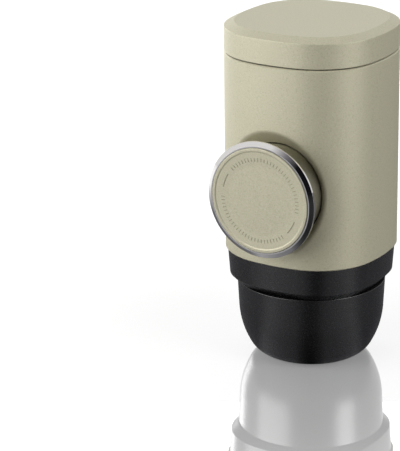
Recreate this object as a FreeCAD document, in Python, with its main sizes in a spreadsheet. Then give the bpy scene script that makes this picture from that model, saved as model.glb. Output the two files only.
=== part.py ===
import FreeCAD, Part
import math
import os
import re
import Sketcher

# A handheld manual espresso maker for capsules, in millimetres.
#
# +Z is up as the maker stands on its outlet head, -Y is the front, where the pump knob is, and the
# origin is the centre of the foot. From the top down: lid, water tank, housing with the piston pump
# across it, brew collar, and the outlet head that screws into the collar and holds the capsule.
#
# "Front" distances are measured from the upright axis towards -Y, and "back" ones towards +Y.

VECTOR = FreeCAD.Vector

SIZES = [
    # The body's section: a square with bulged sides and rounded corners, drawn with eight arcs.
    ("body_half_width", 30.0, "axis to the middle of a side"),
    ("body_side_radius", 62.0, "arc of each bulged side"),
    ("body_corner_radius", 23.5, "arc of each corner"),
    # Heights of the outside, from the foot up.
    ("bowl_height", 29.3, "foot to the shoulder of the outlet head"),
    ("head_gap", 0.3, "outlet head to collar"),
    ("collar_chamfer", 2.6, "undercut at the collar's lower edge"),
    ("collar_side", 9.9, "visible side of the collar"),
    ("housing_height", 74.2, "housing, from the collar to the lid seam"),
    ("lid_gap", 0.4, "lid seam"),
    ("lid_side", 9.1, "lid, from the seam to the bevel"),
    ("lid_bevel_height", 1.7, "bevel round the lid's top"),
    ("lid_bevel_width", 3.7, "the same bevel, seen from above"),
    # Housing.
    ("housing_wall", 2.2, "moulded wall"),
    ("edge_break", 0.4, "small chamfer on the housing's and lid's edges"),
    ("knob_rise", 27.4, "housing's lower edge to the pump axis"),
    ("port_radius", 17.9, "pump port and well"),
    ("flare_width", 5.0, "cone by which the port widens to the front"),
    ("flare_depth", 5.0, "the same cone, from the housing's front in"),
    ("port_round", 1.8, "rounded edge of the port"),
    ("well_wall", 2.2, "tube behind the port"),
    ("well_floor_front", 10.0, "front of the floor that carries the pump"),
    ("well_floor", 2.0, "thickness of that floor"),
    ("post_inset", 10.4, "collar screw posts, along X and along Y, short of the collar's bore"),
    ("post_radius", 3.2, "collar screw posts"),
    ("post_height", 9.0, "collar screw posts, above the collar's deck"),
    ("rib_width", 2.0, "ribs from the posts to the wall"),
    ("rib_gap", 0.5, "ribs above the collar's spigot"),
    # Water tank.
    ("tank_clearance", 0.3, "tank to housing"),
    ("tank_wall", 1.5, "tank wall and floor"),
    ("tank_roof", 1.8, "plate that carries the neck"),
    ("tank_lift", 0.5, "tank floor above the pump's well"),
    ("tank_drop", 0.1, "tank's top below the housing's"),
    ("rim_inset", 1.1, "housing edge left outside the tank's rim"),
    ("rim_depth", 1.8, "rebate for the tank's rim"),
    ("rim_fit", 0.1, "tank's rim in its rebate"),
    ("neck_radius", 21.5, "filling neck"),
    ("neck_wall", 1.5, "filling neck"),
    ("neck_depth", 8.2, "filling neck, from the tank's top down"),
    ("nipple_radius", 4.0, "tank outlet"),
    ("nipple_length", 7.4, "tank outlet, below the tank's floor"),
    ("nipple_bore", 2.5, "tank outlet"),
    ("tank_seal_rise", 2.5, "middle of the tank's seal above the socket's floor"),
    ("tank_seal_fit", 0.05, "radial, the same seal on both sides"),
    ("strainer_radius", 6.0, "mesh over the tank outlet"),
    ("strainer_thickness", 0.8, "mesh over the tank outlet"),
    ("strainer_hole", 0.7, "holes in that mesh"),
    ("strainer_holes", 6, "holes in that mesh"),
    ("strainer_circle", 3.0, "radius of their circle"),
    # Pump.
    ("valve_back", 10.4, "inlet and outlet valves, behind the upright axis"),
    ("cylinder_bore", 10.0, "radius of the pump's bore"),
    ("cylinder_wall", 1.6, "wall round the bore"),
    ("chamber_back", 14.2, "end of the bore"),
    ("cylinder_end", 2.3, "wall that closes the bore"),
    ("flange_thickness", 2.0, "pump flange"),
    ("flange_clearance", 0.2, "pump in its well and in the opening behind it"),
    ("cylinder_chamfer", 1.0, "back end of the pump"),
    ("pump_screw_circle", 14.3, "radius of the pump's screw circle"),
    ("pump_screw_reach", 5.0, "pump screws, past the flange"),
    ("pump_boss_radius", 2.4, "screw bosses behind the well's floor"),
    ("pump_boss_length", 6.0, "screw bosses behind the well's floor"),
    ("turret_radius", 6.5, "inlet turret on the pump"),
    ("turret_bore", 5.4, "socket for the tank outlet"),
    ("turret_gap", 1.9, "turret to the tank's floor"),
    ("socket_depth", 6.5, "socket for the tank outlet"),
    ("valve_seat_radius", 3.6, "flat recess under the inlet valve"),
    ("valve_seat_rise", 10.6, "inlet valve seat above the pump axis"),
    ("valve_hole_circle", 2.2, "water holes round the inlet valve's stem"),
    ("valve_hole", 0.7, "radius of those holes"),
    ("umbrella_radius", 3.2, "inlet valve's flap"),
    ("umbrella_thickness", 0.8, "inlet valve's flap"),
    ("umbrella_edge", 0.2, "thickness of the flap's edge"),
    ("stem_radius", 0.85, "inlet valve's stem"),
    ("stem_fit", 0.05, "stem in its hole, and flap under its seat"),
    ("stem_bulb", 1.3, "radius of the bulb that holds the stem"),
    ("bulb_gap", 0.1, "bulb above the socket's floor"),
    ("bulb_length", 1.3, "the same bulb"),
    ("outlet_boss_radius", 6.0, "outlet boss below the pump, and the valve cage under it"),
    ("outlet_boss_drop", 15.0, "pump axis to the outlet boss's face"),
    ("outlet_seat", 1.8, "radius of the hole that the ball closes"),
    ("cage_bore", 3.2, "outlet valve cage"),
    ("cage_floor", 3.4, "outlet valve cage"),
    ("cage_outlet", 1.5, "outlet valve cage"),
    ("ball_radius", 2.5, "outlet valve ball"),
    ("ball_gap", 0.05, "ball to its seat, along the axis"),
    ("valve_wire", 0.25, "radius of the outlet valve spring's wire"),
    ("valve_coil", 2.0, "radius of that spring at the middle of its wire"),
    ("valve_pitch", 1.0, "spring pitch"),
    ("spring_seat", 0.05, "end of a spring to what it stands on"),
    ("wire_sides", 8, "flat sides that stand for a round wire"),
    # Rod guide, bayonet keeper, piston.
    ("guide_radius", 11.7, "rod guide's plate"),
    ("guide_thickness", 2.0, "rod guide's plate"),
    ("guide_plug", 4.0, "rod guide, inside the bore"),
    ("guide_fit", 0.1, "radial, the same in the bore"),
    ("guide_chamfer", 0.5, "front edge of the rod guide"),
    ("rod_radius", 4.0, "piston rod"),
    ("running_clearance", 0.06, "radial, where a piece slides or turns in another"),
    ("stop_gap", 0.3, "along the travel, where two moving pieces meet"),
    ("head_length", 6.0, "piston head"),
    ("head_clearance", 0.2, "radial, piston head in its bore"),
    ("seal_section", 0.95, "radius of the piston ring's section"),
    ("seal_bed", 0.05, "radial, piston ring above its groove's floor"),
    ("keeper_wall", 1.1, "bayonet keeper"),
    ("keeper_length", 4.6, "bayonet keeper"),
    ("keeper_lip", 1.6, "thickness of the keeper's inner lip"),
    ("keeper_fit", 0.1, "radial, keeper in the well"),
    ("lug_count", 3, "bayonet lugs"),
    ("lug_half_angle", 10.0, "degrees, half of one lug"),
    ("lug_slack_angle", 3.0, "degrees, each side of a lug in its slot"),
    ("lug_thickness", 2.0, "bayonet lugs, along the pump axis"),
    ("lug_gap", 0.3, "radial, round the lugs"),
    ("lug_float", 0.5, "lugs in front of the flange, knob in"),
    ("stroke", 7.9, "travel of the knob"),
    # Knob.
    ("ring_back_front", 36.4, "back of the knob's ring, knob out"),
    ("ring_radius", 21.5, "knob's metal ring"),
    ("ring_back_chamfer", 0.4, "knob's metal ring"),
    ("ring_side", 0.7, "straight side of the ring"),
    ("ring_bevel_width", 1.55, "bevelled front of the ring"),
    ("ring_bevel_depth", 0.9, "bevelled front of the ring"),
    ("ring_land", 0.5, "flat inner edge of the ring's front"),
    ("core_step", 0.7, "height of the core that the ring sits on"),
    ("core_inset", 0.5, "core inside the knob's skirt"),
    ("skirt_radius", 17.4, "knob's skirt"),
    ("knob_wall", 1.8, "knob's skirt"),
    ("knob_plate", 2.3, "knob's front plate"),
    ("tail_inset", 2.6, "narrow tail of the skirt, which carries the lugs"),
    ("tail_wall", 1.6, "the same tail"),
    ("hub_radius", 6.0, "hub round the rod's end"),
    ("hub_length", 6.8, "hub round the rod's end"),
    ("rod_gap", 0.3, "rod's end to the knob's plate"),
    ("screw_plate", 0.8, "plate under the knob screw's head"),
    ("face_edge", 0.1, "radial, face disc in the ring"),
    ("face_proud", 0.3, "face disc in front of the ring"),
    ("face_chamfer", 0.2, "its outer edge"),
    ("face_lip", 1.05, "raised edge of the face disc"),
    ("face_groove", 0.2, "drop inside that edge"),
    ("face_slope", 0.45, "width of that drop"),
    ("face_band", 5.2, "band that slopes on from there to the flat middle"),
    ("face_dish", 0.2, "drop along that band"),
    ("knob_screw_radius", 1.5, "screw that holds the knob on the rod"),
    ("knob_screw_head", 3.0, "its head"),
    ("knob_screw_play", 0.3, "radial, its head in the knob"),
    ("knob_screw_head_height", 1.0, "its head"),
    ("knob_screw_length", 9.0, "its shank"),
    ("spring_wire", 0.6, "radius of the return spring's wire"),
    ("spring_coil", 7.6, "radius of the return spring at the middle of its wire"),
    ("spring_turns", 6, "return spring"),
    # Small screws.
    ("screw_radius", 1.15, "housing, pump and lid screws"),
    ("screw_head", 2.2, "their heads"),
    ("screw_head_height", 1.4, "their heads"),
    ("screw_length", 7.0, "their shanks, past what they clamp"),
    ("screw_play", 0.1, "radial, screw in a clearance hole"),
    ("screw_fit", 0.05, "radial, screw in the hole it is driven into"),
    ("hole_end", 0.5, "end of such a hole past its screw"),
    # Collar and brew group.
    ("collar_draft", 0.75, "collar inside the housing's section, at its top and again at its edge"),
    ("collar_wall", 5.1, "collar, from the middle of a side to the bore for the outlet head"),
    ("deck_drop", 1.5, "collar deck's underside below the housing's lower edge"),
    ("deck_thickness", 3.4, "collar deck"),
    ("spigot_clearance", 0.2, "collar's spigot in the housing"),
    ("spigot_wall", 2.0, "collar's spigot"),
    ("spigot_gap", 0.4, "collar's spigot below the pump's well"),
    ("water_hole", 2.0, "water hole in the deck"),
    ("needle_plate_inset", 10.5, "needle plate's edge inside the collar's bore"),
    ("spread_rim", 1.6, "needle plate's edge outside the recess that spreads the water"),
    ("spread_depth", 0.6, "the same recess"),
    ("needle_plate_thickness", 1.2, "needle plate"),
    ("needle_plate_fit", 0.1, "radial, needle plate in its gasket"),
    ("needle_count", 3, "needles, with as many water holes between them"),
    ("needle_circle", 6.0, "radius of the circle of needles"),
    ("needle_radius", 0.9, "needle at its root"),
    ("needle_length", 4.6, "needle"),
    ("needle_tip", 0.15, "needle at its point"),
    ("gasket_thickness", 1.5, "brew gasket"),
    ("gasket_lip", 0.3, "gasket's lip under the needle plate"),
    ("gasket_rim_gap", 0.7, "gasket inside the collar's bore"),
    # Capsule holder.
    ("seat_gap", 0.3, "holder to gasket, holder to neck, holder to plate gasket"),
    ("flange_height", 1.5, "holder's flange"),
    ("flange_rim_gap", 0.6, "holder's flange in the collar's bore"),
    ("holder_rim_gap", 1.2, "holder's lower rim inside the outlet head"),
    ("holder_rim_wall", 1.9, "holder's lower rim round the seat for the capsule's rim"),
    ("capsule_shelf", 3.6, "width of that seat"),
    ("capsule_taper", 2.7, "capsule seat's cone, narrower at its top than at its base"),
    ("capsule_rim_depth", 1.5, "seat for the capsule's rim"),
    ("holder_wall", 2.0, "holder's cone"),
    ("holder_rim_height", 3.5, "holder's lower rim"),
    ("holder_ribs", 6, "holder's ribs"),
    ("holder_rib_width", 1.6, "holder's ribs"),
    # Outlet head.
    ("thread_clearance", 0.08, "radial, in the two threads, which are drawn as plain cylinders"),
    ("neck_length", 7.7, "outlet head's neck, above its shoulder"),
    ("neck_wall_thickness", 3.02, "outlet head's neck, from its thread to its inside"),
    ("bowl_inset", 2.5, "bowl's shoulder inside the middle of the body's side"),
    ("bowl_lean", 0.9, "bowl's side, narrower where its round begins than at its shoulder"),
    ("bowl_width", 11.5, "bowl's round part, from the flat foot out"),
    ("bowl_round_height", 19.1, "height of the bowl's round part"),
    ("foot_round", 9.0, "tighter arc next to the foot"),
    ("foot_ring", 4.1, "flat foot, round the hollow in it"),
    ("foot_recess", 2.6, "hollow in the foot"),
    ("ledge_height", 12.0, "ledge round the plate's recess"),
    ("plate_height", 9.5, "underside of the extraction plate"),
    ("plate_inset", 2.8, "extraction plate's edge inside the outlet head"),
    ("plate_thickness", 1.5, "extraction plate"),
    ("plate_fit", 0.2, "radial, plate in its recess"),
    ("plate_step", 1.7, "width of the step under the plate"),
    ("plate_hole", 0.6, "radius of the plate's holes"),
    ("plate_holes", 6, "holes in the plate's first circle, and added in each further one"),
    ("plate_circle", 4.75, "spacing of those circles"),
    ("funnel_height", 6.4, "lowest point of the funnel"),
    ("nozzle_radius", 4.0, "spout nozzle"),
    ("nozzle_bore", 2.2, "spout nozzle"),
    ("nozzle_flange", 5.4, "spout nozzle's flange"),
    ("nozzle_flange_height", 0.8, "spout nozzle's flange"),
    ("nozzle_fit", 0.05, "radial, nozzle in the foot"),
    ("nozzle_taper", 0.4, "radial, nozzle's end"),
    ("nozzle_taper_height", 0.6, "nozzle's end"),
    ("funnel_lip", 0.2, "flat round the nozzle's flange"),
    ("nozzle_tip", 1.2, "nozzle's end above the table"),
    ("plate_gasket_width", 2.5, "gasket on the plate"),
    ("plate_gasket_height", 1.0, "gasket on the plate"),
    ("ring_section", 0.85, "radius of the lid's and the neck's sealing rings"),
    ("groove_slack", 0.25, "each side of a sealing ring in its groove"),
    ("ring_play", 0.06, "radial, sealing ring to groove and to bore"),
    ("head_ring_drop", 1.6, "middle of the neck's ring below the neck's top"),
    # Lid.
    ("lid_wall", 2.2, "lid wall"),
    ("lid_roof", 2.5, "lid's top"),
    ("plug_lift", 0.6, "plug's plate above the tank's top"),
    ("plug_plate_radius", 24.5, "plug's plate"),
    ("plug_plate", 2.0, "plug's plate"),
    ("plug_wall", 3.6, "plug's threaded skirt"),
    ("plug_depth", 7.2, "plug's threaded skirt, below the tank's top"),
    ("lid_ring_drop", 3.2, "middle of the lid's ring below the tank's top"),
    ("lid_post_offset", 10.0, "lid's screw posts, along X and along Y"),
    ("lid_post_radius", 2.8, "lid's screw posts"),
]

# Places and sizes that follow from the ones above.
PLACES = {
    "corner_centre": "((body_half_width - body_side_radius) + sqrt(2 * (body_side_radius"
                     " - body_corner_radius)^2 - (body_half_width - body_side_radius)^2)) / 2",
    "turn_sin": "corner_centre / (body_side_radius - body_corner_radius)",
    "turn_cos": "(corner_centre + body_side_radius - body_half_width)"
                " / (body_side_radius - body_corner_radius)",
    "collar_under": "bowl_height + head_gap",
    "collar_edge": "collar_under + collar_chamfer",
    "housing_bottom": "collar_edge + collar_side",
    "housing_top": "housing_bottom + housing_height",
    "lid_bottom": "housing_top + lid_gap",
    "lid_shoulder": "lid_bottom + lid_side",
    "lid_top": "lid_shoulder + lid_bevel_height",
    "knob_height": "housing_bottom + knob_rise",
    "well_outside": "port_radius + well_wall",
    "flare_back": "body_half_width - flare_depth",
    "flare_front": "body_half_width + edge_break",
    "flare_spread": "flare_width / flare_depth * (flare_front - flare_back)",
    "wall_front": "body_half_width - housing_wall",
    "well_mouth": "well_outside + flare_width / flare_depth * (wall_front - flare_back)",
    "collar_bore": "body_half_width - collar_wall",
    "post_offset": "collar_bore - post_inset",
    "rib_reach": "body_half_width - 1.5 * housing_wall",
    "needle_plate_radius": "collar_bore - needle_plate_inset",
    "spread_radius": "needle_plate_radius - spread_rim",
    "deck_under": "housing_bottom - deck_drop",
    "deck_top": "deck_under + deck_thickness",
    "spigot_top": "knob_height - well_mouth - spigot_gap",
    "rim_floor": "housing_top - rim_depth",
    "tank_inset": "housing_wall + tank_clearance",
    "tank_bottom": "knob_height + well_mouth + tank_lift",
    "pump_screw_place": "pump_screw_circle * sqrt(0.5)",
    "tank_top": "housing_top - tank_drop",
    "nipple_end": "tank_bottom - nipple_length",
    "cylinder_radius": "cylinder_bore + cylinder_wall",
    "flange_front": "well_floor_front + flange_thickness",
    "turret_top": "tank_bottom - turret_gap",
    "socket_floor": "turret_top - socket_depth",
    "valve_seat": "knob_height + valve_seat_rise",
    "outlet_face": "knob_height - outlet_boss_drop",
    "cage_bottom": "deck_top",
    "ball_height": "outlet_face - sqrt(ball_radius^2 - outlet_seat^2) - ball_gap",
    "guide_front": "flange_front + guide_thickness",
    "plug_end": "flange_front - guide_plug",
    "head_front": "plug_end - stop_gap",
    "head_back": "head_front - head_length",
    "keeper_front": "flange_front + keeper_length",
    "keeper_radius": "port_radius - keeper_fit",
    "keeper_inside": "keeper_radius - keeper_wall",
    "lug_radius": "keeper_inside - lug_gap",
    "lug_back": "flange_front + stroke + lug_float",
    "tail_radius": "skirt_radius - tail_inset",
    "lip_inside": "tail_radius + lug_gap",
    "tail_front": "keeper_front + stroke + stop_gap",
    "face_back": "ring_back_front + core_step",
    "core_radius": "skirt_radius - core_inset",
    "ring_front": "ring_back_front + ring_back_chamfer + ring_side + ring_bevel_depth",
    "ring_opening": "ring_radius - ring_bevel_width - ring_land",
    "face_radius": "ring_opening - face_edge",
    "face_front": "ring_front + face_proud",
    "plate_back": "face_back - knob_plate",
    "screw_seat": "plate_back + screw_plate",
    "rod_end": "plate_back - rod_gap",
    "holder_top": "deck_under - gasket_thickness - seat_gap",
    "flange_under": "holder_top - flange_height",
    "plate_top": "plate_height + plate_thickness",
    "holder_bottom": "plate_top + plate_gasket_height + seat_gap",
    "neck_outside": "collar_bore - thread_clearance",
    "head_bore": "neck_outside - neck_wall_thickness",
    "plate_radius": "head_bore - plate_inset",
    "holder_rim_radius": "head_bore - holder_rim_gap",
    "capsule_rim": "holder_rim_radius - holder_rim_wall",
    "capsule_base": "capsule_rim - capsule_shelf",
    "capsule_top": "capsule_base - capsule_taper",
    "neck_top": "bowl_height + neck_length",
    "bowl_shoulder": "body_half_width - bowl_inset",
    "bowl_side": "bowl_shoulder - bowl_lean",
    "foot_radius": "bowl_side - bowl_width",
    "foot_recess_radius": "foot_radius - foot_ring",
    "side_arc": "(bowl_width^2 + (bowl_round_height - foot_round)^2 - foot_round^2)"
                " / (2 * (bowl_width - foot_round))",
    "arc_x": "foot_round * (side_arc - bowl_width) / (side_arc - foot_round)",
    "arc_z": "foot_round * (foot_round - bowl_round_height) / (side_arc - foot_round)",
    "plug_outside": "neck_radius - thread_clearance",
    "plug_under": "tank_top + plug_lift",
    "plug_top": "plug_under + plug_plate",
    "lid_ring_height": "tank_top - lid_ring_drop",
    "lid_ring_radius": "neck_radius - ring_play - ring_section",
    "head_ring_height": "neck_top - head_ring_drop",
    "head_ring_radius": "collar_bore - ring_play - ring_section",
}

doc = FreeCAD.newDocument("espresso_maker")
sheet = doc.addObject("Spreadsheet::Sheet", "Sizes")
ALIASES = {alias for alias, value, note in SIZES}


def fill_sheet():
    """Write each size as text in column B, with its alias, between its name and its note."""
    for row, (alias, value, note) in enumerate(SIZES, start=1):
        sheet.set("A%d" % row, alias)
        sheet.set("B%d" % row, str(value))
        sheet.set("C%d" % row, note)
        sheet.setAlias("B%d" % row, alias)
    doc.recompute()


def expand(text):
    """Write an expression of sizes and places in terms of the sheet's cells."""
    def word(match):
        name = match.group(0)
        if name in PLACES:
            return "(" + expand(PLACES[name]) + ")"
        return "Sizes." + name if name in ALIASES else name
    return re.sub(r"[a-z][a-z_]*", word, str(text))


def value(text):
    """The number that an expression of sizes and places comes to."""
    result = sheet.evalExpression(expand(text))
    return float(getattr(result, "Value", result))


def bind(target, path, text):
    """Tie a property to an expression of sizes and places."""
    target.setExpression(path, expand(text))


def new_body(label):
    """A PartDesign body for one sub-part, which may hold several like solids."""
    body = doc.addObject("PartDesign::Body", label)
    body.Label = label
    body.AllowCompound = True
    return body


def sketch(body, name, plane, x="0", y="0", lift="0"):
    """A sketch on one of the body's own planes, shifted in the plane and along its normal."""
    drawing = body.newObject("Sketcher::SketchObject", body.Name + "_" + name)
    support = [item for item in body.Origin.OriginFeatures if item.Role == plane][0]
    drawing.AttachmentSupport = [(support, "")]
    drawing.MapMode = "FlatFace"
    drawing.AttachmentOffset.Base = VECTOR(value(x), value(y), value(lift))
    for axis, text in (("x", x), ("y", y), ("z", lift)):
        bind(drawing, "AttachmentOffset.Base." + axis, text)
    return drawing


def level(body, name, height):
    """A sketch that lies flat at a height: its axes are X and Y, and +Z is its normal."""
    return sketch(body, name, "XY_Plane", lift=height)


def upright(body, name, x="0", back="0"):
    """A sketch of radius and height, whose vertical axis stands at x and a distance back."""
    return sketch(body, name, "XZ_Plane", x=x, lift="-(%s)" % back)


def across(body, name, front):
    """A sketch across the pump axis, with its normal to the front."""
    return sketch(body, name, "XZ_Plane", y="knob_height", lift=front)


def along_pump(body, name):
    """A sketch of distance back and radius, whose horizontal axis is the pump's."""
    return sketch(body, name, "YZ_Plane", y="knob_height")


def pin(drawing, constraints, texts, geometry, place, x, y):
    """Fix a point of a sketch at two expressions, measured from the sketch's origin."""
    constraints.append(Sketcher.Constraint("DistanceX", -1, 1, geometry, place, value(x)))
    texts.append(x)
    constraints.append(Sketcher.Constraint("DistanceY", -1, 1, geometry, place, value(y)))
    texts.append(y)


def apply(drawing, constraints, texts):
    """Add constraints, and tie each one that has an expression to it."""
    first = drawing.ConstraintCount
    drawing.addConstraint(constraints)
    for index, text in enumerate(texts):
        if text is not None:
            bind(drawing, "Constraints[%d]" % (first + index), text)


def arc_middle(start, end, radius, turn):
    """The middle of the shorter arc from start to end that turns left (1) or right (-1)."""
    chord = end.sub(start)
    height = math.sqrt(max(radius ** 2 - chord.Length ** 2 / 4, 0.0))
    left = VECTOR(-chord.y, chord.x, 0).normalize()
    centre = (start + end) * 0.5 + left * (turn * height)
    return centre - left * (turn * radius)


def outline(drawing, corners):
    """Draw a closed chain of lines and arcs.

    A corner is (x, y), followed by a radius where an arc leads to the next corner, and by -1
    where that arc turns right.
    """
    points = [VECTOR(value(corner[0]), value(corner[1]), 0) for corner in corners]
    first = drawing.GeometryCount
    ends = []
    constraints = []
    texts = []
    for index, corner in enumerate(corners):
        start = points[index]
        end = points[(index + 1) % len(points)]
        if len(corner) > 2:
            turn = corner[3] if len(corner) > 3 else 1
            middle = arc_middle(start, end, value(corner[2]), turn)
            drawing.addGeometry(Part.Arc(start, middle, end))
            constraints.append(Sketcher.Constraint("Radius", first + index, value(corner[2])))
            texts.append(corner[2])
        else:
            drawing.addGeometry(Part.LineSegment(start, end))
        flipped = drawing.getPoint(first + index, 1).distanceToPoint(start) > 1e-6
        ends.append((2, 1) if flipped else (1, 2))
    for index, corner in enumerate(corners):
        following = (index + 1) % len(corners)
        pin(drawing, constraints, texts, first + index, ends[index][0], corner[0], corner[1])
        constraints.append(Sketcher.Constraint("Coincident", first + index, ends[index][1],
                                               first + following, ends[following][0]))
        texts.append(None)
    apply(drawing, constraints, texts)


def circle(drawing, radius, x="0", y="0"):
    """Draw a circle."""
    index = drawing.GeometryCount
    centre = VECTOR(value(x), value(y), 0)
    drawing.addGeometry(Part.Circle(centre, VECTOR(0, 0, 1), value(radius)))
    constraints = [Sketcher.Constraint("Radius", index, value(radius))]
    texts = [radius]
    pin(drawing, constraints, texts, index, 3, x, y)
    apply(drawing, constraints, texts)


def rectangle(drawing, left, bottom, right, top):
    """Draw a rectangle with sides along the sketch's axes."""
    outline(drawing, [(left, bottom), (right, bottom), (right, top), (left, top)])


def squircle(drawing, inset="0"):
    """Draw the body's section, moved inwards everywhere by one distance."""
    side = "body_side_radius - (%s)" % inset
    corner = "body_corner_radius - (%s)" % inset
    far = "body_half_width - body_side_radius + (%s) * turn_cos" % side
    near = "(%s) * turn_sin" % side
    minus_far = "-(%s)" % far
    minus_near = "-(%s)" % near
    outline(drawing, [(far, minus_near, side), (far, near, corner),
                      (near, far, side), (minus_near, far, corner),
                      (minus_far, near, side), (minus_far, minus_near, corner),
                      (minus_near, minus_far, side), (near, minus_far, corner)])


def sector(drawing, inner, outer, half_angle):
    """Draw a piece of a ring, centred on the sketch's vertical axis."""
    x_inner = "(%s) * sin(%s)" % (inner, half_angle)
    y_inner = "(%s) * cos(%s)" % (inner, half_angle)
    x_outer = "(%s) * sin(%s)" % (outer, half_angle)
    y_outer = "(%s) * cos(%s)" % (outer, half_angle)
    outline(drawing, [(x_outer, y_outer, outer), ("-" + x_outer, y_outer),
                      ("-" + x_inner, y_inner, inner, -1), (x_inner, y_inner)])


def feature(body, kind, drawing):
    """Add a feature that uses a sketch, named after it."""
    made = body.newObject("PartDesign::" + kind, drawing.Name + "_" + kind.lower())
    made.Profile = drawing
    return made


def pad(drawing, length):
    """Add material from a sketch along its normal."""
    made = feature(drawing.getParent(), "Pad", drawing)
    bind(made, "Length", length)
    return made


def pocket(drawing, length):
    """Take material away from a sketch along its normal."""
    made = feature(drawing.getParent(), "Pocket", drawing)
    made.Reversed = True
    bind(made, "Length", length)
    return made


def turned(drawing, axis="V_Axis", kind="Revolution"):
    """Turn a sketch about one of its own axes."""
    made = feature(drawing.getParent(), kind, drawing)
    made.ReferenceAxis = (drawing, [axis])
    made.Angle = 360
    return made


def lofted(body, levels):
    """Join sections of the body's shape, each given by its height and inset, with flat bands."""
    drawings = []
    for number, (height, inset) in enumerate(levels):
        drawing = level(body, "section_%d" % number, height)
        squircle(drawing, inset)
        drawings.append(drawing)
    made = feature(body, "AdditiveLoft", drawings[0])
    made.Sections = drawings[1:]
    made.Ruled = True
    return made


def repeated(made, drawing, axis, count):
    """Repeat a feature round one of a sketch's axes."""
    body = made.getParent()
    pattern = body.newObject("PartDesign::PolarPattern", made.Name + "_pattern")
    pattern.Originals = [made]
    pattern.Axis = (drawing, [axis])
    pattern.Angle = 360
    bind(pattern, "Occurrences", count)
    body.Tip = pattern
    return pattern


def four_circles(drawing, radius, offset):
    """Draw a circle at each of four places, as far from both axes."""
    minus = "-(%s)" % offset
    for x in (offset, minus):
        for y in (offset, minus):
            circle(drawing, radius, x, y)


def rounded(body, radius, wanted):
    """Round the edges of the body so far for which wanted(edge) is true."""
    doc.recompute()
    base = body.Tip
    names = ["Edge%d" % (number + 1) for number, edge in enumerate(base.Shape.Edges)
             if wanted(edge)]
    made = body.newObject("PartDesign::Fillet", "%s_round_%d" % (body.Name, len(body.Group)))
    made.Base = (base, names)
    bind(made, "Radius", radius)
    return made


def housing_cavity():
    """What is hollow in the housing: the inside of its walls, less the pump's well."""
    body = new_body("housing_cavity")
    inside = level(body, "inside", "housing_bottom - edge_break")
    squircle(inside, "housing_wall")
    pad(inside, "housing_height + 2 * edge_break")
    well = along_pump(body, "well")
    floor_back = "well_floor - well_floor_front"
    outline(well, [(floor_back, "0"), (floor_back, "well_outside"),
                   ("-flare_back", "well_outside"),
                   ("-flare_front", "well_outside + flare_spread"), ("-flare_front", "0")])
    turned(well, "H_Axis", "Groove")
    return body


def main_housing():
    """The outer housing: a tube of the body's section, with the pump's well across it."""
    body = new_body("main_housing")
    lofted(body, [("housing_bottom", "edge_break"), ("housing_bottom + edge_break", "0"),
                  ("housing_top - edge_break", "0"), ("housing_top", "edge_break")])
    hollow = body.newObject("PartDesign::Boolean", "main_housing_hollow")
    hollow.setObjects([housing_cavity()])
    hollow.Type = "Cut"
    add_posts(body)
    port = along_pump(body, "port")
    outline(port, [("-well_floor_front", "0"), ("-well_floor_front", "port_radius"),
                   ("-flare_back", "port_radius"),
                   ("-flare_front", "port_radius + flare_spread"), ("-flare_front", "0")])
    turned(port, "H_Axis", "Groove")
    round_port(body)
    opening = across(body, "pump_opening", "well_floor_front - well_floor")
    circle(opening, "cylinder_radius + flange_clearance")
    pocket(opening, "well_floor")
    add_pump_bosses(body)
    rebate = level(body, "tank_rebate", "rim_floor")
    squircle(rebate, "rim_inset")
    pocket(rebate, "rim_depth")
    return body


def round_port(body):
    """Round the edge where the port's flare meets the housing's outside."""
    height = value("knob_height")
    back = value("flare_back")
    bore = value("port_radius")
    slope = value("flare_width") / value("flare_depth")

    def on_port(spot):
        away = math.hypot(spot.x, spot.z - height)
        return abs(away - bore - slope * max(-spot.y - back, 0.0)) < 0.01

    def wanted(edge):
        first = edge.FirstParameter
        span = edge.LastParameter - first
        spots = [edge.valueAt(first + share * span) for share in (0.1, 0.5, 0.9)]
        depths = [spot.y for spot in spots]
        flat = max(depths) - min(depths) < 0.01
        seam = all(abs(spot.x) < 0.01 for spot in spots)
        return not seam and not flat and all(on_port(spot) for spot in spots)

    rounded(body, "port_round", wanted)


def add_posts(body):
    """Posts for the collar's screws, with ribs to the side walls."""
    posts = level(body, "posts", "deck_top")
    four_circles(posts, "post_radius", "post_offset")
    pad(posts, "post_height")
    ribs = level(body, "ribs", "spigot_top + rib_gap")
    for low, high in (("post_offset", "rib_reach"), ("-rib_reach", "-post_offset")):
        for middle in ("post_offset", "-post_offset"):
            rectangle(ribs, low, middle + " - rib_width / 2", high, middle + " + rib_width / 2")
    pad(ribs, "deck_top + post_height - spigot_top - rib_gap")
    holes = level(body, "post_holes", "deck_top")
    four_circles(holes, "screw_radius + screw_fit", "post_offset")
    pocket(holes, "screw_length + hole_end")


def add_pump_bosses(body):
    """Bosses behind the well's floor for the pump's screws."""
    bosses = across(body, "pump_bosses", "well_floor_front - pump_boss_length")
    four_circles(bosses, "pump_boss_radius", "pump_screw_place")
    pad(bosses, "pump_boss_length")
    holes = across(body, "pump_boss_holes", "well_floor_front - pump_boss_length")
    four_circles(holes, "screw_radius + screw_fit", "pump_screw_place")
    pocket(holes, "pump_boss_length")


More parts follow.
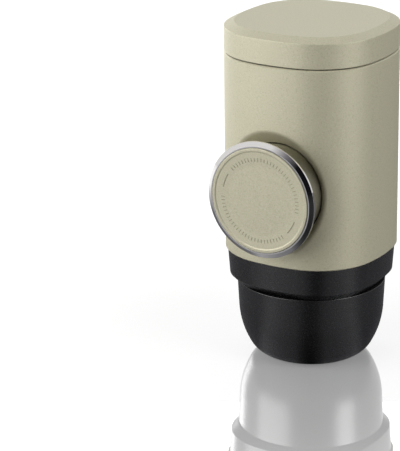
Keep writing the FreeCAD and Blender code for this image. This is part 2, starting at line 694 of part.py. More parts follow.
def water_tank():
    """The tank, which hangs by its rim in the housing and has the filling neck in its top."""
    body = new_body("water_tank")
    vessel = level(body, "vessel", "tank_bottom")
    squircle(vessel, "tank_inset")
    pad(vessel, "tank_top - tank_bottom")
    rim = level(body, "rim", "rim_floor")
    squircle(rim, "rim_inset + rim_fit")
    pad(rim, "tank_top - rim_floor")
    inside = level(body, "inside", "tank_bottom + tank_wall")
    squircle(inside, "tank_inset + tank_wall")
    pocket(inside, "tank_top - tank_roof - tank_bottom - tank_wall")
    neck = level(body, "neck", "tank_top - neck_depth")
    circle(neck, "neck_radius + neck_wall")
    pad(neck, "neck_depth")
    throat = level(body, "throat", "tank_top - neck_depth")
    circle(throat, "neck_radius")
    pocket(throat, "neck_depth")
    nipple = level(body, "nipple", "nipple_end")
    circle(nipple, "nipple_radius", "0", "valve_back")
    pad(nipple, "nipple_length + tank_wall / 2")
    outlet = level(body, "outlet", "nipple_end")
    circle(outlet, "nipple_bore", "0", "valve_back")
    pocket(outlet, "nipple_length + tank_wall")
    return body


def ring(label, radius, height, section, back="0"):
    """A sealing ring with a round section, lying flat."""
    body = new_body(label)
    drawing = upright(body, "section", back=back)
    circle(drawing, section, radius, height)
    turned(drawing)
    return body


def tank_seal():
    """The ring between the tank's outlet and the pump's socket."""
    return ring("tank_seal", "(nipple_radius + turret_bore) / 2", "socket_floor + tank_seal_rise",
                "(turret_bore - nipple_radius) / 2 - tank_seal_fit", "valve_back")


def inlet_strainer():
    """The perforated disc over the tank's outlet."""
    body = new_body("inlet_strainer")
    disc = sketch(body, "disc", "XY_Plane", y="valve_back", lift="tank_bottom + tank_wall")
    circle(disc, "strainer_radius")
    pad(disc, "strainer_thickness")
    hole = sketch(body, "hole", "XY_Plane", y="valve_back", lift="tank_bottom + tank_wall")
    circle(hole, "strainer_hole", "strainer_circle")
    repeated(pocket(hole, "strainer_thickness"), hole, "N_Axis", "strainer_holes")
    return body


def inlet_valve():
    """The soft umbrella that lets water into the pump and not back."""
    body = new_body("inlet_valve")
    shape = upright(body, "umbrella", back="valve_back")
    flap = "valve_seat - stem_fit"
    bulb = "socket_floor + bulb_gap"
    outline(shape, [("0", flap + " - umbrella_thickness"),
                    ("umbrella_radius / 2", flap + " - umbrella_thickness"),
                    ("umbrella_radius", flap + " - umbrella_edge"), ("umbrella_radius", flap),
                    ("stem_radius", flap), ("stem_radius", bulb), ("stem_bulb", bulb),
                    ("stem_bulb / 2", bulb + " + bulb_length"), ("0", bulb + " + bulb_length")])
    turned(shape)
    return body


def pump_cylinder():
    """The pump's cylinder, with its flange, the inlet turret on top and the outlet boss below."""
    body = new_body("pump_cylinder")
    outside = along_pump(body, "outside")
    end = "chamber_back + cylinder_end"
    flange = "port_radius - flange_clearance"
    outline(outside, [("-flange_front", "0"), (end, "0"),
                      (end, "cylinder_radius - cylinder_chamfer"),
                      (end + " - cylinder_chamfer", "cylinder_radius"),
                      ("-well_floor_front", "cylinder_radius"),
                      ("-well_floor_front", flange), ("-flange_front", flange)])
    turned(outside, "H_Axis")
    turret = level(body, "turret", "knob_height")
    circle(turret, "turret_radius", "0", "valve_back")
    pad(turret, "turret_top - knob_height")
    boss = level(body, "outlet_boss", "outlet_face")
    circle(boss, "outlet_boss_radius", "0", "valve_back")
    pad(boss, "knob_height - outlet_face")
    bore = along_pump(body, "bore")
    rectangle(bore, "-flange_front", "0", "chamber_back", "cylinder_bore")
    turned(bore, "H_Axis", "Groove")
    socket = level(body, "socket", "socket_floor")
    circle(socket, "turret_bore", "0", "valve_back")
    pocket(socket, "socket_depth")
    seat = level(body, "valve_seat", "knob_height")
    circle(seat, "valve_seat_radius", "0", "valve_back")
    pocket(seat, "valve_seat - knob_height")
    stem = level(body, "stem_hole", "valve_seat")
    circle(stem, "stem_radius + stem_fit", "0", "valve_back")
    pocket(stem, "socket_floor - valve_seat")
    hole = sketch(body, "water_hole", "XY_Plane", y="valve_back", lift="valve_seat")
    circle(hole, "valve_hole", "valve_hole_circle")
    repeated(pocket(hole, "socket_floor - valve_seat"), hole, "N_Axis", "4")
    outlet = level(body, "outlet_hole", "outlet_face")
    circle(outlet, "outlet_seat", "0", "valve_back")
    pocket(outlet, "knob_height - outlet_face")
    shanks = across(body, "shank_holes", "well_floor_front")
    four_circles(shanks, "screw_radius + screw_play", "pump_screw_place")
    pocket(shanks, "flange_thickness")
    heads = across(body, "head_holes", "flange_front - screw_head_height")
    four_circles(heads, "screw_head + screw_play", "pump_screw_place")
    pocket(heads, "screw_head_height")
    return body


def rod_guide():
    """The front cover of the pump's bore, which guides the rod and stops the piston."""
    body = new_body("rod_guide")
    shape = along_pump(body, "profile")
    bore = "rod_radius + running_clearance"
    plug = "cylinder_bore - guide_fit"
    outline(shape, [("-guide_front", bore), ("-plug_end", bore), ("-plug_end", plug),
                    ("-flange_front", plug), ("-flange_front", "guide_radius"),
                    ("guide_chamfer - guide_front", "guide_radius"),
                    ("-guide_front", "guide_radius - guide_chamfer")])
    turned(shape, "H_Axis")
    return body


def keeper_ring():
    """The bayonet keeper: its lip has a slot for each lug of the knob."""
    body = new_body("keeper_ring")
    shape = along_pump(body, "profile")
    outline(shape, [("-flange_front", "keeper_inside"), ("-flange_front", "keeper_radius"),
                    ("-keeper_front", "keeper_radius"), ("-keeper_front", "lip_inside"),
                    ("keeper_lip - keeper_front", "lip_inside"),
                    ("keeper_lip - keeper_front", "keeper_inside")])
    turned(shape, "H_Axis")
    slot = across(body, "slot", "keeper_front - keeper_lip")
    sector(slot, "tail_radius", "keeper_inside", "lug_half_angle + lug_slack_angle")
    repeated(pocket(slot, "keeper_lip"), slot, "N_Axis", "lug_count")
    return body


def flat_screw(body, drawing, seat, length):
    """A flat-headed screw turned about a sketch's vertical axis: its head's top is at seat."""
    outline(drawing, [("0", seat), ("screw_head", seat),
                      ("screw_head", seat + " + screw_head_height"),
                      ("screw_radius", seat + " + screw_head_height"),
                      ("screw_radius", seat + " + screw_head_height + " + length),
                      ("0", seat + " + screw_head_height + " + length)])
    return turned(drawing)


def upward_screws(label, offset, seat, length):
    """Four screws that point up, their heads' undersides at seat."""
    body = new_body(label)
    drawing = upright(body, "screw", x=offset, back=offset)
    made = flat_screw(body, drawing, seat, length)
    centre = level(body, "centre", "0")
    repeated(made, centre, "N_Axis", "4")
    return body


def pump_screws():
    """The four screws through the pump's flange into the housing."""
    body = new_body("pump_screws")
    drawing = sketch(body, "screw", "YZ_Plane", y="knob_height + pump_screw_place",
                     lift="pump_screw_place")
    back = "screw_head_height - flange_front"
    end = "pump_screw_reach - well_floor_front"
    outline(drawing, [("-flange_front", "0"), (end, "0"), (end, "screw_radius"),
                      (back, "screw_radius"), (back, "screw_head"),
                      ("-flange_front", "screw_head")])
    made = turned(drawing, "H_Axis")
    centre = across(body, "centre", "0")
    repeated(made, centre, "N_Axis", "4")
    return body


def outlet_valve_cage():
    """The cage below the pump that holds the outlet valve's spring and ball."""
    body = new_body("outlet_valve_cage")
    shape = upright(body, "profile", back="valve_back")
    floor = "cage_bottom + cage_floor"
    outline(shape, [("cage_outlet", "cage_bottom"), ("outlet_boss_radius", "cage_bottom"),
                    ("outlet_boss_radius", "outlet_face"), ("cage_bore", "outlet_face"),
                    ("cage_bore", floor), ("cage_outlet", floor)])
    turned(shape)
    return body


def coil(label, radius, wire, pitch, length, place, rotation):
    """A compression spring: a wire, drawn with flat sides, swept along a helix."""
    helix = doc.addObject("Part::Helix", label + "_helix")
    bind(helix, "Radius", radius)
    bind(helix, "Pitch", pitch)
    bind(helix, "Height", length)
    section = doc.addObject("Part::RegularPolygon", label + "_wire")
    bind(section, "Polygon", "wire_sides")
    bind(section, "Circumradius", wire)
    section.Placement = FreeCAD.Placement(VECTOR(value(radius), 0, 0),
                                          FreeCAD.Rotation(VECTOR(1, 0, 0), 90))
    bind(section, "Placement.Base.x", radius)
    spring = doc.addObject("Part::Sweep", label)
    spring.Label = label
    spring.Sections = [section]
    spring.Spine = (helix, ["Edge1"])
    spring.Solid = True
    spring.Frenet = True
    spring.Placement = FreeCAD.Placement(VECTOR(*[value(text) for text in place]), rotation)
    for axis, text in zip("xyz", place):
        bind(spring, "Placement.Base." + axis, text)
    return spring


def outlet_valve_spring():
    """The small spring under the outlet ball."""
    bottom = "cage_bottom + cage_floor + valve_wire + spring_seat"
    top = "ball_height - sqrt((ball_radius + valve_wire)^2 - valve_coil^2) - spring_seat"
    return coil("outlet_valve_spring", "valve_coil", "valve_wire", "valve_pitch",
                "(%s) - (%s)" % (top, bottom), ("0", "valve_back", bottom), FreeCAD.Rotation())


def outlet_ball():
    """The ball that closes the pump's outlet."""
    ball = doc.addObject("Part::Sphere", "outlet_ball")
    ball.Label = "outlet_ball"
    bind(ball, "Radius", "ball_radius")
    bind(ball, "Placement.Base.y", "valve_back")
    bind(ball, "Placement.Base.z", "ball_height")
    return ball


def brew_collar():
    """The black collar under the housing, with the deck that carries the brew group."""
    body = new_body("brew_collar")
    lofted(body, [("collar_under", "2 * collar_draft + collar_chamfer"),
                  ("collar_edge", "2 * collar_draft"), ("housing_bottom", "collar_draft")])
    spigot = level(body, "spigot", "housing_bottom")
    squircle(spigot, "housing_wall + spigot_clearance")
    pad(spigot, "spigot_top - housing_bottom")
    bore = level(body, "bore", "collar_under")
    circle(bore, "collar_bore")
    pocket(bore, "deck_under - collar_under")
    inside = level(body, "inside", "deck_top")
    squircle(inside, "housing_wall + spigot_clearance + spigot_wall")
    pocket(inside, "spigot_top - deck_top")
    spread = level(body, "spread", "deck_under")
    circle(spread, "spread_radius")
    pocket(spread, "spread_depth")
    water = level(body, "water_hole", "deck_under")
    circle(water, "water_hole", "0", "valve_back")
    pocket(water, "deck_thickness")
    shanks = level(body, "shank_holes", "deck_under")
    four_circles(shanks, "screw_radius + screw_play", "post_offset")
    pocket(shanks, "deck_thickness")
    heads = level(body, "head_holes", "deck_under")
    four_circles(heads, "screw_head + screw_play", "post_offset")
    pocket(heads, "screw_head_height")
    return body


def needle_plate():
    """The steel plate whose needles pierce the capsule."""
    body = new_body("needle_plate")
    plate = level(body, "plate", "deck_under - needle_plate_thickness")
    circle(plate, "needle_plate_radius")
    pad(plate, "needle_plate_thickness")
    needle = upright(body, "needle", x="needle_circle")
    root = "deck_under - needle_plate_thickness"
    outline(needle, [("0", root + " - needle_length"), ("needle_tip", root + " - needle_length"),
                     ("needle_radius", root),
                     ("needle_radius", root + " + needle_plate_thickness / 2"),
                     ("0", root + " + needle_plate_thickness / 2")])
    repeated(turned(needle), plate, "N_Axis", "needle_count")
    hole = level(body, "hole", root)
    circle(hole, "needle_radius", "-needle_circle")
    repeated(pocket(hole, "needle_plate_thickness"), plate, "N_Axis", "needle_count")
    return body


def brew_gasket():
    """The gasket between deck and capsule holder, whose lip carries the needle plate."""
    body = new_body("brew_gasket")
    shape = upright(body, "profile")
    lip = "deck_under - needle_plate_thickness"
    bed = "needle_plate_radius + needle_plate_fit"
    outline(shape, [("spread_radius", lip + " - gasket_lip"),
                    ("collar_bore - gasket_rim_gap", lip + " - gasket_lip"),
                    ("collar_bore - gasket_rim_gap", "deck_under"),
                    (bed, "deck_under"), (bed, lip), ("spread_radius", lip)])
    turned(shape)
    return body


def piston_rod():
    """The piston: a rod with a grooved head."""
    body = new_body("piston_rod")
    shape = along_pump(body, "profile")
    head = "cylinder_bore - head_clearance"
    middle = "(head_front + head_back) / 2"
    groove = "cylinder_bore - running_clearance - 2 * seal_section - seal_bed"
    thread = "knob_screw_radius + screw_fit"
    outline(shape, [("-rod_end", thread), ("-rod_end", "rod_radius"),
                    ("-head_front", "rod_radius"), ("-head_front", head),
                    ("-(%s + seal_section + groove_slack)" % middle, head),
                    ("-(%s + seal_section + groove_slack)" % middle, groove),
                    ("-(%s - seal_section - groove_slack)" % middle, groove),
                    ("-(%s - seal_section - groove_slack)" % middle, head),
                    ("-head_back", head), ("-head_back", "0"),
                    ("knob_screw_length + hole_end - rod_end", "0"),
                    ("knob_screw_length + hole_end - rod_end", thread)])
    turned(shape, "H_Axis")
    return body


def piston_seal():
    """The ring in the piston's groove."""
    body = new_body("piston_seal")
    drawing = along_pump(body, "section")
    circle(drawing, "seal_section", "-(head_front + head_back) / 2",
           "cylinder_bore - running_clearance - seal_section")
    turned(drawing, "H_Axis")
    return body


def return_spring():
    """The spring that pushes the knob out, between the rod guide and the knob's plate."""
    low = "guide_front + spring_wire + spring_seat"
    high = "plate_back - spring_wire - spring_seat"
    length = "(%s) - (%s)" % (high, low)
    return coil("return_spring", "spring_coil", "spring_wire",
                "(%s) / spring_turns" % length, length, ("0", "-(%s)" % low, "knob_height"),
                FreeCAD.Rotation(VECTOR(1, 0, 0), 90))


def knob_shell():
    """The moulded knob: a plate with a skirt, a narrow tail with the lugs, and a hub."""
    body = new_body("knob_shell")
    shape = along_pump(body, "profile")
    head = "knob_screw_head + knob_screw_play"
    shank = "knob_screw_radius + running_clearance"
    socket = "rod_radius + running_clearance"
    tail_inside = "tail_radius - tail_wall"
    inside = "skirt_radius - knob_wall"
    outline(shape, [("-face_back", head), ("-face_back", "core_radius"),
                    ("-ring_back_front", "core_radius"), ("-ring_back_front", "skirt_radius"),
                    ("-tail_front", "skirt_radius"), ("-tail_front", "tail_radius"),
                    ("-lug_back", "tail_radius"), ("-lug_back", tail_inside),
                    ("-(tail_front + tail_wall)", tail_inside),
                    ("-(tail_front + tail_wall)", inside), ("-plate_back", inside),
                    ("-plate_back", "hub_radius"), ("hub_length - plate_back", "hub_radius"),
                    ("hub_length - plate_back", socket), ("-plate_back", socket),
                    ("-plate_back", shank), ("-screw_seat", shank), ("-screw_seat", head)])
    turned(shape, "H_Axis")
    lug = across(body, "lug", "lug_back")
    sector(lug, "tail_radius - tail_wall / 2", "lug_radius", "lug_half_angle")
    repeated(pad(lug, "lug_thickness"), lug, "N_Axis", "lug_count")
    return body


def knob_ring():
    """The bevelled metal ring round the knob's face."""
    body = new_body("knob_ring")
    shape = along_pump(body, "profile")
    inside = "core_radius + face_edge"
    outline(shape, [("-ring_back_front", inside),
                    ("-ring_back_front", "ring_radius - ring_back_chamfer"),
                    ("-(ring_back_front + ring_back_chamfer)", "ring_radius"),
                    ("-(ring_back_front + ring_back_chamfer + ring_side)", "ring_radius"),
                    ("-ring_front", "ring_radius - ring_bevel_width"),
                    ("-ring_front", "ring_opening"), ("-face_back", "ring_opening"),
                    ("-face_back", inside)])
    turned(shape, "H_Axis")
    return body


def knob_face():
    """The face disc, with a raised edge, a shallow band and a slightly lower middle."""
    body = new_body("knob_face")
    shape = along_pump(body, "profile")
    lip = "face_radius - face_lip"
    outline(shape, [("-face_back", "0"), ("-face_back", "face_radius"),
                    ("face_chamfer - face_front", "face_radius"),
                    ("-face_front", "face_radius - face_chamfer"),
                    ("-face_front", lip), ("face_groove - face_front", lip + " - face_slope"),
                    ("face_groove + face_dish - face_front", lip + " - face_slope - face_band"),
                    ("face_groove + face_dish - face_front", "0")])
    turned(shape, "H_Axis")
    return body


def knob_screw():
    """The shouldered screw on which the knob turns."""
    body = new_body("knob_screw")
    shape = along_pump(body, "profile")
    head = "-(screw_seat + stop_gap)"
    front = "-(screw_seat + stop_gap + knob_screw_head_height)"
    outline(shape, [(front, "0"), (front, "knob_screw_head"), (head, "knob_screw_head"),
                    (head, "knob_screw_radius"),
                    ("knob_screw_length - rod_end", "knob_screw_radius"),
                    ("knob_screw_length - rod_end", "0")])
    turned(shape, "H_Axis")
    return body


def lid_cap():
    """The lid: a shallow cap of the body's section with a bevelled top."""
    body = new_body("lid_cap")
    lofted(body, [("lid_bottom", "edge_break"), ("lid_bottom + edge_break", "0"),
                  ("lid_shoulder", "0"), ("lid_top", "lid_bevel_width")])
    inside = level(body, "inside", "lid_bottom")
    squircle(inside, "lid_wall")
    pocket(inside, "lid_top - lid_roof - lid_bottom")
    posts = level(body, "posts", "plug_top")
    four_circles(posts, "lid_post_radius", "lid_post_offset")
    pad(posts, "lid_top - lid_roof / 2 - plug_top")
    holes = level(body, "holes", "plug_top")
    four_circles(holes, "screw_radius + screw_fit", "lid_post_offset")
    pocket(holes, "screw_length - plug_plate + hole_end")
    return body


def lid_plug():
    """The plug under the lid, which screws into the tank's neck."""
    body = new_body("lid_plug")
    shape = upright(body, "profile")
    groove = "lid_ring_radius - ring_section - ring_play"
    low = "lid_ring_height - ring_section - groove_slack"
    high = "lid_ring_height + ring_section + groove_slack"
    outline(shape, [("0", "plug_under"), ("plug_outside - plug_wall", "plug_under"),
                    ("plug_outside - plug_wall", "tank_top - plug_depth"),
                    ("plug_outside", "tank_top - plug_depth"), ("plug_outside", low),
                    (groove, low), (groove, high), ("plug_outside", high),
                    ("plug_outside", "plug_under"), ("plug_plate_radius", "plug_under"),
                    ("plug_plate_radius", "plug_top"), ("0", "plug_top")])
    turned(shape)
    holes = level(body, "screw_holes", "plug_under")
    four_circles(holes, "screw_radius + screw_play", "lid_post_offset")
    pocket(holes, "plug_plate")
    return body


def capsule_holder():
    """The ribbed cone that the capsule stands in, rim down."""
    body = new_body("capsule_holder")
    shape = upright(body, "profile")
    base = "holder_bottom + capsule_rim_depth"
    shelf = "holder_bottom + holder_rim_height"
    outline(shape, [("capsule_top", "holder_top"),
                    ("collar_bore - flange_rim_gap", "holder_top"),
                    ("collar_bore - flange_rim_gap", "flange_under"),
                    ("capsule_top + holder_wall", "flange_under"),
                    ("capsule_base + holder_wall", shelf), ("holder_rim_radius", shelf),
                    ("holder_rim_radius", "holder_bottom"), ("capsule_rim", "holder_bottom"),
                    ("capsule_rim", base), ("capsule_base", base)])
    turned(shape)
    rib = sketch(body, "rib", "XZ_Plane", lift="-holder_rib_width / 2")
    low = shelf + " - flange_height / 2"
    high = "flange_under + flange_height / 2"
    outline(rib, [("capsule_base + holder_wall / 2", low), ("holder_rim_radius", low),
                  ("holder_rim_radius", high), ("capsule_top + holder_wall / 2", high)])
    repeated(pad(rib, "holder_rib_width"), rib, "V_Axis", "holder_ribs")
    return body


def outlet_bowl():
    """The outlet head: a round bowl with a flat foot and a threaded neck."""
    body = new_body("outlet_bowl")
    shape = upright(body, "profile")
    groove = "head_ring_radius - ring_section - ring_play"
    low = "head_ring_height - ring_section - groove_slack"
    high = "head_ring_height + ring_section + groove_slack"
    recess = "plate_radius + plate_fit"
    hole = "nozzle_radius + nozzle_fit"
    outline(shape, [("foot_recess_radius", "0"), ("foot_radius", "0", "foot_round"),
                    ("foot_radius + arc_x", "foot_round + arc_z", "side_arc"),
                    ("bowl_side", "bowl_round_height"), ("bowl_shoulder", "bowl_height"),
                    ("neck_outside", "bowl_height"), ("neck_outside", low), (groove, low),
                    (groove, high), ("neck_outside", high), ("neck_outside", "neck_top"),
                    ("head_bore", "neck_top"), ("head_bore", "ledge_height"),
                    (recess, "ledge_height"), (recess, "plate_height"),
                    (recess + " - plate_step", "plate_height"),
                    ("nozzle_flange + funnel_lip", "funnel_height"), (hole, "funnel_height"),
                    (hole, "foot_recess"), ("foot_recess_radius", "foot_recess")])
    turned(shape)
    return body


def extraction_plate():
    """The perforated plate under the capsule's rim."""
    body = new_body("extraction_plate")
    plate = level(body, "plate", "plate_height")
    circle(plate, "plate_radius")
    pad(plate, "plate_thickness")
    for number in (1, 2, 3):
        hole = level(body, "circle_%d" % number, "plate_height")
        circle(hole, "plate_hole", "%d * plate_circle" % number)
        repeated(pocket(hole, "plate_thickness"), hole, "N_Axis", "%d * plate_holes" % number)
    return body


def plate_gasket():
    """The flat gasket on the extraction plate."""
    body = new_body("plate_gasket")
    shape = upright(body, "profile")
    rectangle(shape, "plate_radius - plate_gasket_width", "plate_top", "plate_radius",
              "plate_top + plate_gasket_height")
    turned(shape)
    return body


def spout_nozzle():
    """The nozzle in the middle of the foot, which the coffee runs from."""
    body = new_body("spout_nozzle")
    shape = upright(body, "profile")
    top = "funnel_height + nozzle_flange_height"
    outline(shape, [("nozzle_bore", "nozzle_tip"), ("nozzle_radius - nozzle_taper", "nozzle_tip"),
                    ("nozzle_radius", "nozzle_tip + nozzle_taper_height"),
                    ("nozzle_radius", "funnel_height"),
                    ("nozzle_flange", "funnel_height"), ("nozzle_flange", top),
                    ("nozzle_bore", top)])
    turned(shape)
    return body


def all_parts():
    """Build every sub-part, from the housing inwards and down."""
    makers = [main_housing, water_tank, tank_seal, inlet_strainer, inlet_valve, pump_cylinder,
              rod_guide, keeper_ring, pump_screws, outlet_valve_cage, outlet_valve_spring,
              outlet_ball, brew_collar, needle_plate, brew_gasket, piston_rod, piston_seal,
              return_spring, knob_shell, knob_ring, knob_face, knob_screw, lid_cap, lid_plug,
              capsule_holder, outlet_bowl, extraction_plate, plate_gasket, spout_nozzle]
    parts = [maker() for maker in makers]
    parts.append(upward_screws("collar_screws", "post_offset", "deck_under",
                               "(deck_thickness - screw_head_height + screw_length)"))
    parts.append(upward_screws("lid_screws", "lid_post_offset",
                               "plug_under - screw_head_height", "screw_length"))
    parts.append(ring("lid_seal", "lid_ring_radius", "lid_ring_height", "ring_section"))
    parts.append(ring("head_seal", "head_ring_radius", "head_ring_height", "ring_section"))
    return parts


def check(parts):
    """Stop if an object failed, a cut took nothing away or a shape isn't sound."""
    for item in doc.Objects:
        if {"Invalid", "Error"} & set(item.State):
            raise RuntimeError("%s failed: %s" % (item.Name, item.State))
        if item.TypeId in ("PartDesign::Pocket", "PartDesign::Groove"):
            if item.BaseFeature.Shape.Volume - item.Shape.Volume < 1e-3:
                raise RuntimeError("%s cuts nothing" % item.Name)
    for item in parts:
        if item.Shape.isNull() or not item.Shape.isValid() or not item.Shape.Solids:
            raise RuntimeError("%s has no sound shape" % item.Label)


def main():
    """Build the maker and write each sub-part's shape."""
    fill_sheet()
    parts = all_parts()
    doc.recompute()
    check(parts)
    os.makedirs("parts", exist_ok=True)
    for item in parts:
        item.Shape.exportStep(os.path.join("parts", item.Label + ".step"))
        print("%-20s solids %d, volume %.0f" % (item.Label, len(item.Shape.Solids),
                                               item.Shape.Volume))


main()
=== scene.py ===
import logging
import math
from dataclasses import dataclass
from enum import Enum
from functools import cache
from typing import Optional, Sequence, Union

import bpy
import numpy as np
from bpy.types import Material, Node, NodeSocket, NodeTree, Object, World
from mathutils import Matrix


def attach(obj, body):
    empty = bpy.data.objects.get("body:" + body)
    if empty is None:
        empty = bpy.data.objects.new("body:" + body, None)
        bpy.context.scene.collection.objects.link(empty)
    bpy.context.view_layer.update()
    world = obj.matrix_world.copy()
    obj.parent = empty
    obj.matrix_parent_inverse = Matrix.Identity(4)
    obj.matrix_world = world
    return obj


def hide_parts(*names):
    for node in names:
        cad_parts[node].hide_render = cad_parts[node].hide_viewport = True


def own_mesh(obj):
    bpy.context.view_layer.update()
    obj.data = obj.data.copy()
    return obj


# A handheld capsule espresso maker. The classes' sizes are in mm, and the scene is in metres.
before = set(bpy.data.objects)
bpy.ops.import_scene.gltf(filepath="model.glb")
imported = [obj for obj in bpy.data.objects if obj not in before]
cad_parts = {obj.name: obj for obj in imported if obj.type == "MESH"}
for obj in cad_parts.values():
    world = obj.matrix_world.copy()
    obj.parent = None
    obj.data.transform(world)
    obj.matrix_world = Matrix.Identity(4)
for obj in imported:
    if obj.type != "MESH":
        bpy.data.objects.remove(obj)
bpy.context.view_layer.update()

LOG = logging.getLogger("espresso_maker")
MM = 0.001
FULL_TURN = 2.0 * math.pi
# How far, in mm, the straight pieces of a round edge may lie inside its arc.
CHORD = 0.01

Array = np.ndarray
Colour = tuple[float, float, float, float]
Pair = tuple[float, float]
Point = tuple[float, float, float]
Stops = Sequence[tuple[float, str]]
Value = Union[float, Sequence[float], NodeSocket, Node]


# ---- colour and shader nodes

def linear(code: str) -> Colour:
    """Turn an sRGB colour into the linear one that shaders take.

    Args:
        code: six hex digits.

    Returns:
        Red, green, blue and an alpha of 1.
    """
    channels = [int(code[i:i + 2], 16) / 255.0 for i in (0, 2, 4)]
    bright = [c / 12.92 if c <= 0.04045 else ((c + 0.055) / 1.055) ** 2.4 for c in channels]
    return bright[0], bright[1], bright[2], 1.0


def feed(tree: NodeTree, node: Node, inputs: dict[Union[str, int], Value]) -> None:
    """Set or link a shader node's inputs.

    Args:
        tree: the node tree.
        node: the node.
        inputs: socket name or number to a value, or to what feeds it: an output socket, or a
            node by its first output.
    """
    for name, value in inputs.items():
        source = value.outputs[0] if isinstance(value, Node) else value
        if isinstance(source, NodeSocket):
            tree.links.new(source, node.inputs[name])
        else:
            node.inputs[name].default_value = source


def add_node(tree: NodeTree, kind: str, settings: Optional[dict] = None,
             inputs: Optional[dict] = None) -> Node:
    """Add a shader node with its settings, its values and its links.

    Args:
        tree: the node tree.
        kind: the node's type without the leading "ShaderNode".
        settings: attributes of the node.
        inputs: its inputs, as feed takes them.

    Returns:
        The node.
    """
    node = tree.nodes.new("ShaderNode" + kind)
    for name, value in (settings or {}).items():
        setattr(node, name, value)
    feed(tree, node, inputs or {})
    return node


def empty_tree(owner: Union[Material, World]) -> NodeTree:
    """Give a material or a world an empty node tree.

    Args:
        owner: the material or the world.

    Returns:
        Its node tree.
    """
    owner.use_nodes = True
    owner.node_tree.nodes.clear()
    return owner.node_tree


def ramp(tree: NodeTree, source: Value, stops: Stops) -> NodeSocket:
    """Turn a value into a colour.

    Args:
        tree: the node tree.
        source: the value, from 0 to 1.
        stops: positions and the sRGB colours there, at least two.

    Returns:
        The colour socket.
    """
    node = add_node(tree, "ValToRGB", inputs={"Fac": source})
    elements = node.color_ramp.elements
    while len(elements) < len(stops):
        elements.new(1.0)
    for element, (position, code) in zip(elements, stops):
        element.position = position
        element.color = linear(code)
    return node.outputs["Color"]


def noise(tree: NodeTree, size: float, detail: float = 2.0, roughness: float = 0.5) -> Node:
    """Add a noise that stays on its piece.

    Args:
        tree: the node tree.
        size: of its patches, in mm.
        detail: how many finer layers it has.
        roughness: how strong they are.

    Returns:
        The noise's node.
    """
    place = add_node(tree, "TexCoord").outputs["Object"]
    return add_node(tree, "TexNoise", inputs={
        "Vector": place, "Scale": 1.0 / (size * MM), "Detail": detail, "Roughness": roughness})


def grained(tree: NodeTree, shader: Node, grain: Node, roughness: float, swing: float,
            relief: float = 0.0, depth: float = 0.0) -> None:
    """Let a noise vary a shader's roughness and stand out as relief.

    Args:
        tree: the node tree.
        shader: the shader.
        grain: the noise.
        roughness: of the surface, on average.
        swing: how far it goes below and above.
        relief: how strongly the noise stands out, from 0 to 1.
        depth: how deep it looks, in mm.
    """
    rough = add_node(tree, "MapRange", inputs={
        "Value": grain, "To Min": roughness - swing, "To Max": roughness + swing})
    feed(tree, shader, {"Roughness": rough})
    if relief:
        bump = add_node(tree, "Bump", inputs={
            "Height": grain, "Strength": relief, "Distance": depth * MM})
        feed(tree, shader, {"Normal": bump})


# ---- finishes

# Where in its noise the dark fleck is full, the plain colour begins and ends, and the light
# fleck is full.
FLECK_PLACES = (0.30, 0.46, 0.58, 0.72)
PLASTIC_IOR = 1.53
RUBBER_IOR = 1.43
# The patches of rubber's bloom and how deep light goes into silicone, in mm.
BLOOM_SIZE = 1.0 / 0.9
MILK_DEPTH = 1.5


@dataclass(frozen=True)
class MouldedPlastic:
    """Injection-moulded plastic with a spark-eroded grain, and coloured fleck where it has any.

    Attributes:
        name: the material's name.
        base: its colour.
        dark: its darker flecks.
        light: its lighter flecks.
        fleck: how strongly the flecks show, from 0 to 1.
        fleck_size: their size in mm, as large as shows.
        roughness: of the surface.
        grain_size: the mould's grain, in mm.
        grain_depth: how deep it looks, in mm.
        mica: share of the surface that shines like mica flake, from 0 to 1.
        shine: strength of its plain reflection, 0.5 for most plastics.
    """

    name: str
    base: str
    dark: str
    light: str
    fleck: float
    fleck_size: float
    roughness: float
    grain_size: float
    grain_depth: float
    mica: float = 0.0
    shine: float = 0.5

    def build(self) -> Material:
        """Make the material.

        Returns:
            The material.
        """
        material, tree, shader = new_material(self.name)
        fleck = noise(tree, self.fleck_size, roughness=0.6)
        tint = ramp(tree, fleck, tuple(zip(
            FLECK_PLACES, (self.dark, self.base, self.base, self.light))))
        colour = add_node(tree, "Mix", {"data_type": "RGBA"}, {
            "Factor": self.fleck, 6: linear(self.base), 7: tint})
        grained(tree, shader, noise(tree, self.grain_size, detail=3.0), self.roughness,
                swing=0.05, relief=0.5, depth=self.grain_depth)
        feed(tree, shader, {
            "Base Color": colour.outputs[2], "IOR": PLASTIC_IOR, "Metallic": self.mica,
            "Specular IOR Level": self.shine})
        return material


@dataclass(frozen=True)
class Steel:
    """Stainless steel, polished or turned.

    Attributes:
        name: the material's name.
        tint: its reflection's colour.
        roughness: of the surface.
        line_size: spacing of the polishing or turning marks, in mm.
        line_depth: how deep they look, in mm.
    """

    name: str
    tint: str
    roughness: float
    line_size: float
    line_depth: float

    def build(self) -> Material:
        """Make the material.

        Returns:
            The material.
        """
        material, tree, shader = new_material(self.name)
        grained(tree, shader, noise(tree, self.line_size, detail=4.0), self.roughness,
                swing=0.3 * self.roughness, relief=0.3, depth=self.line_depth)
        feed(tree, shader, {"Base Color": linear(self.tint), "Metallic": 1.0})
        return material


@dataclass(frozen=True)
class SoftSeal:
    """Moulded rubber or silicone, with a bloom that varies its gloss.

    Attributes:
        name: the material's name.
        base: its colour.
        roughness: of the surface.
        milky: how much light passes into it, from 0 to 1.
    """

    name: str
    base: str
    roughness: float
    milky: float

    def build(self) -> Material:
        """Make the material.

        Returns:
            The material.
        """
        material, tree, shader = new_material(self.name)
        grained(tree, shader, noise(tree, BLOOM_SIZE), self.roughness, swing=0.08)
        feed(tree, shader, {
            "Base Color": linear(self.base), "IOR": RUBBER_IOR, "Subsurface Weight": self.milky,
            "Subsurface Scale": MILK_DEPTH * MM})
        return material


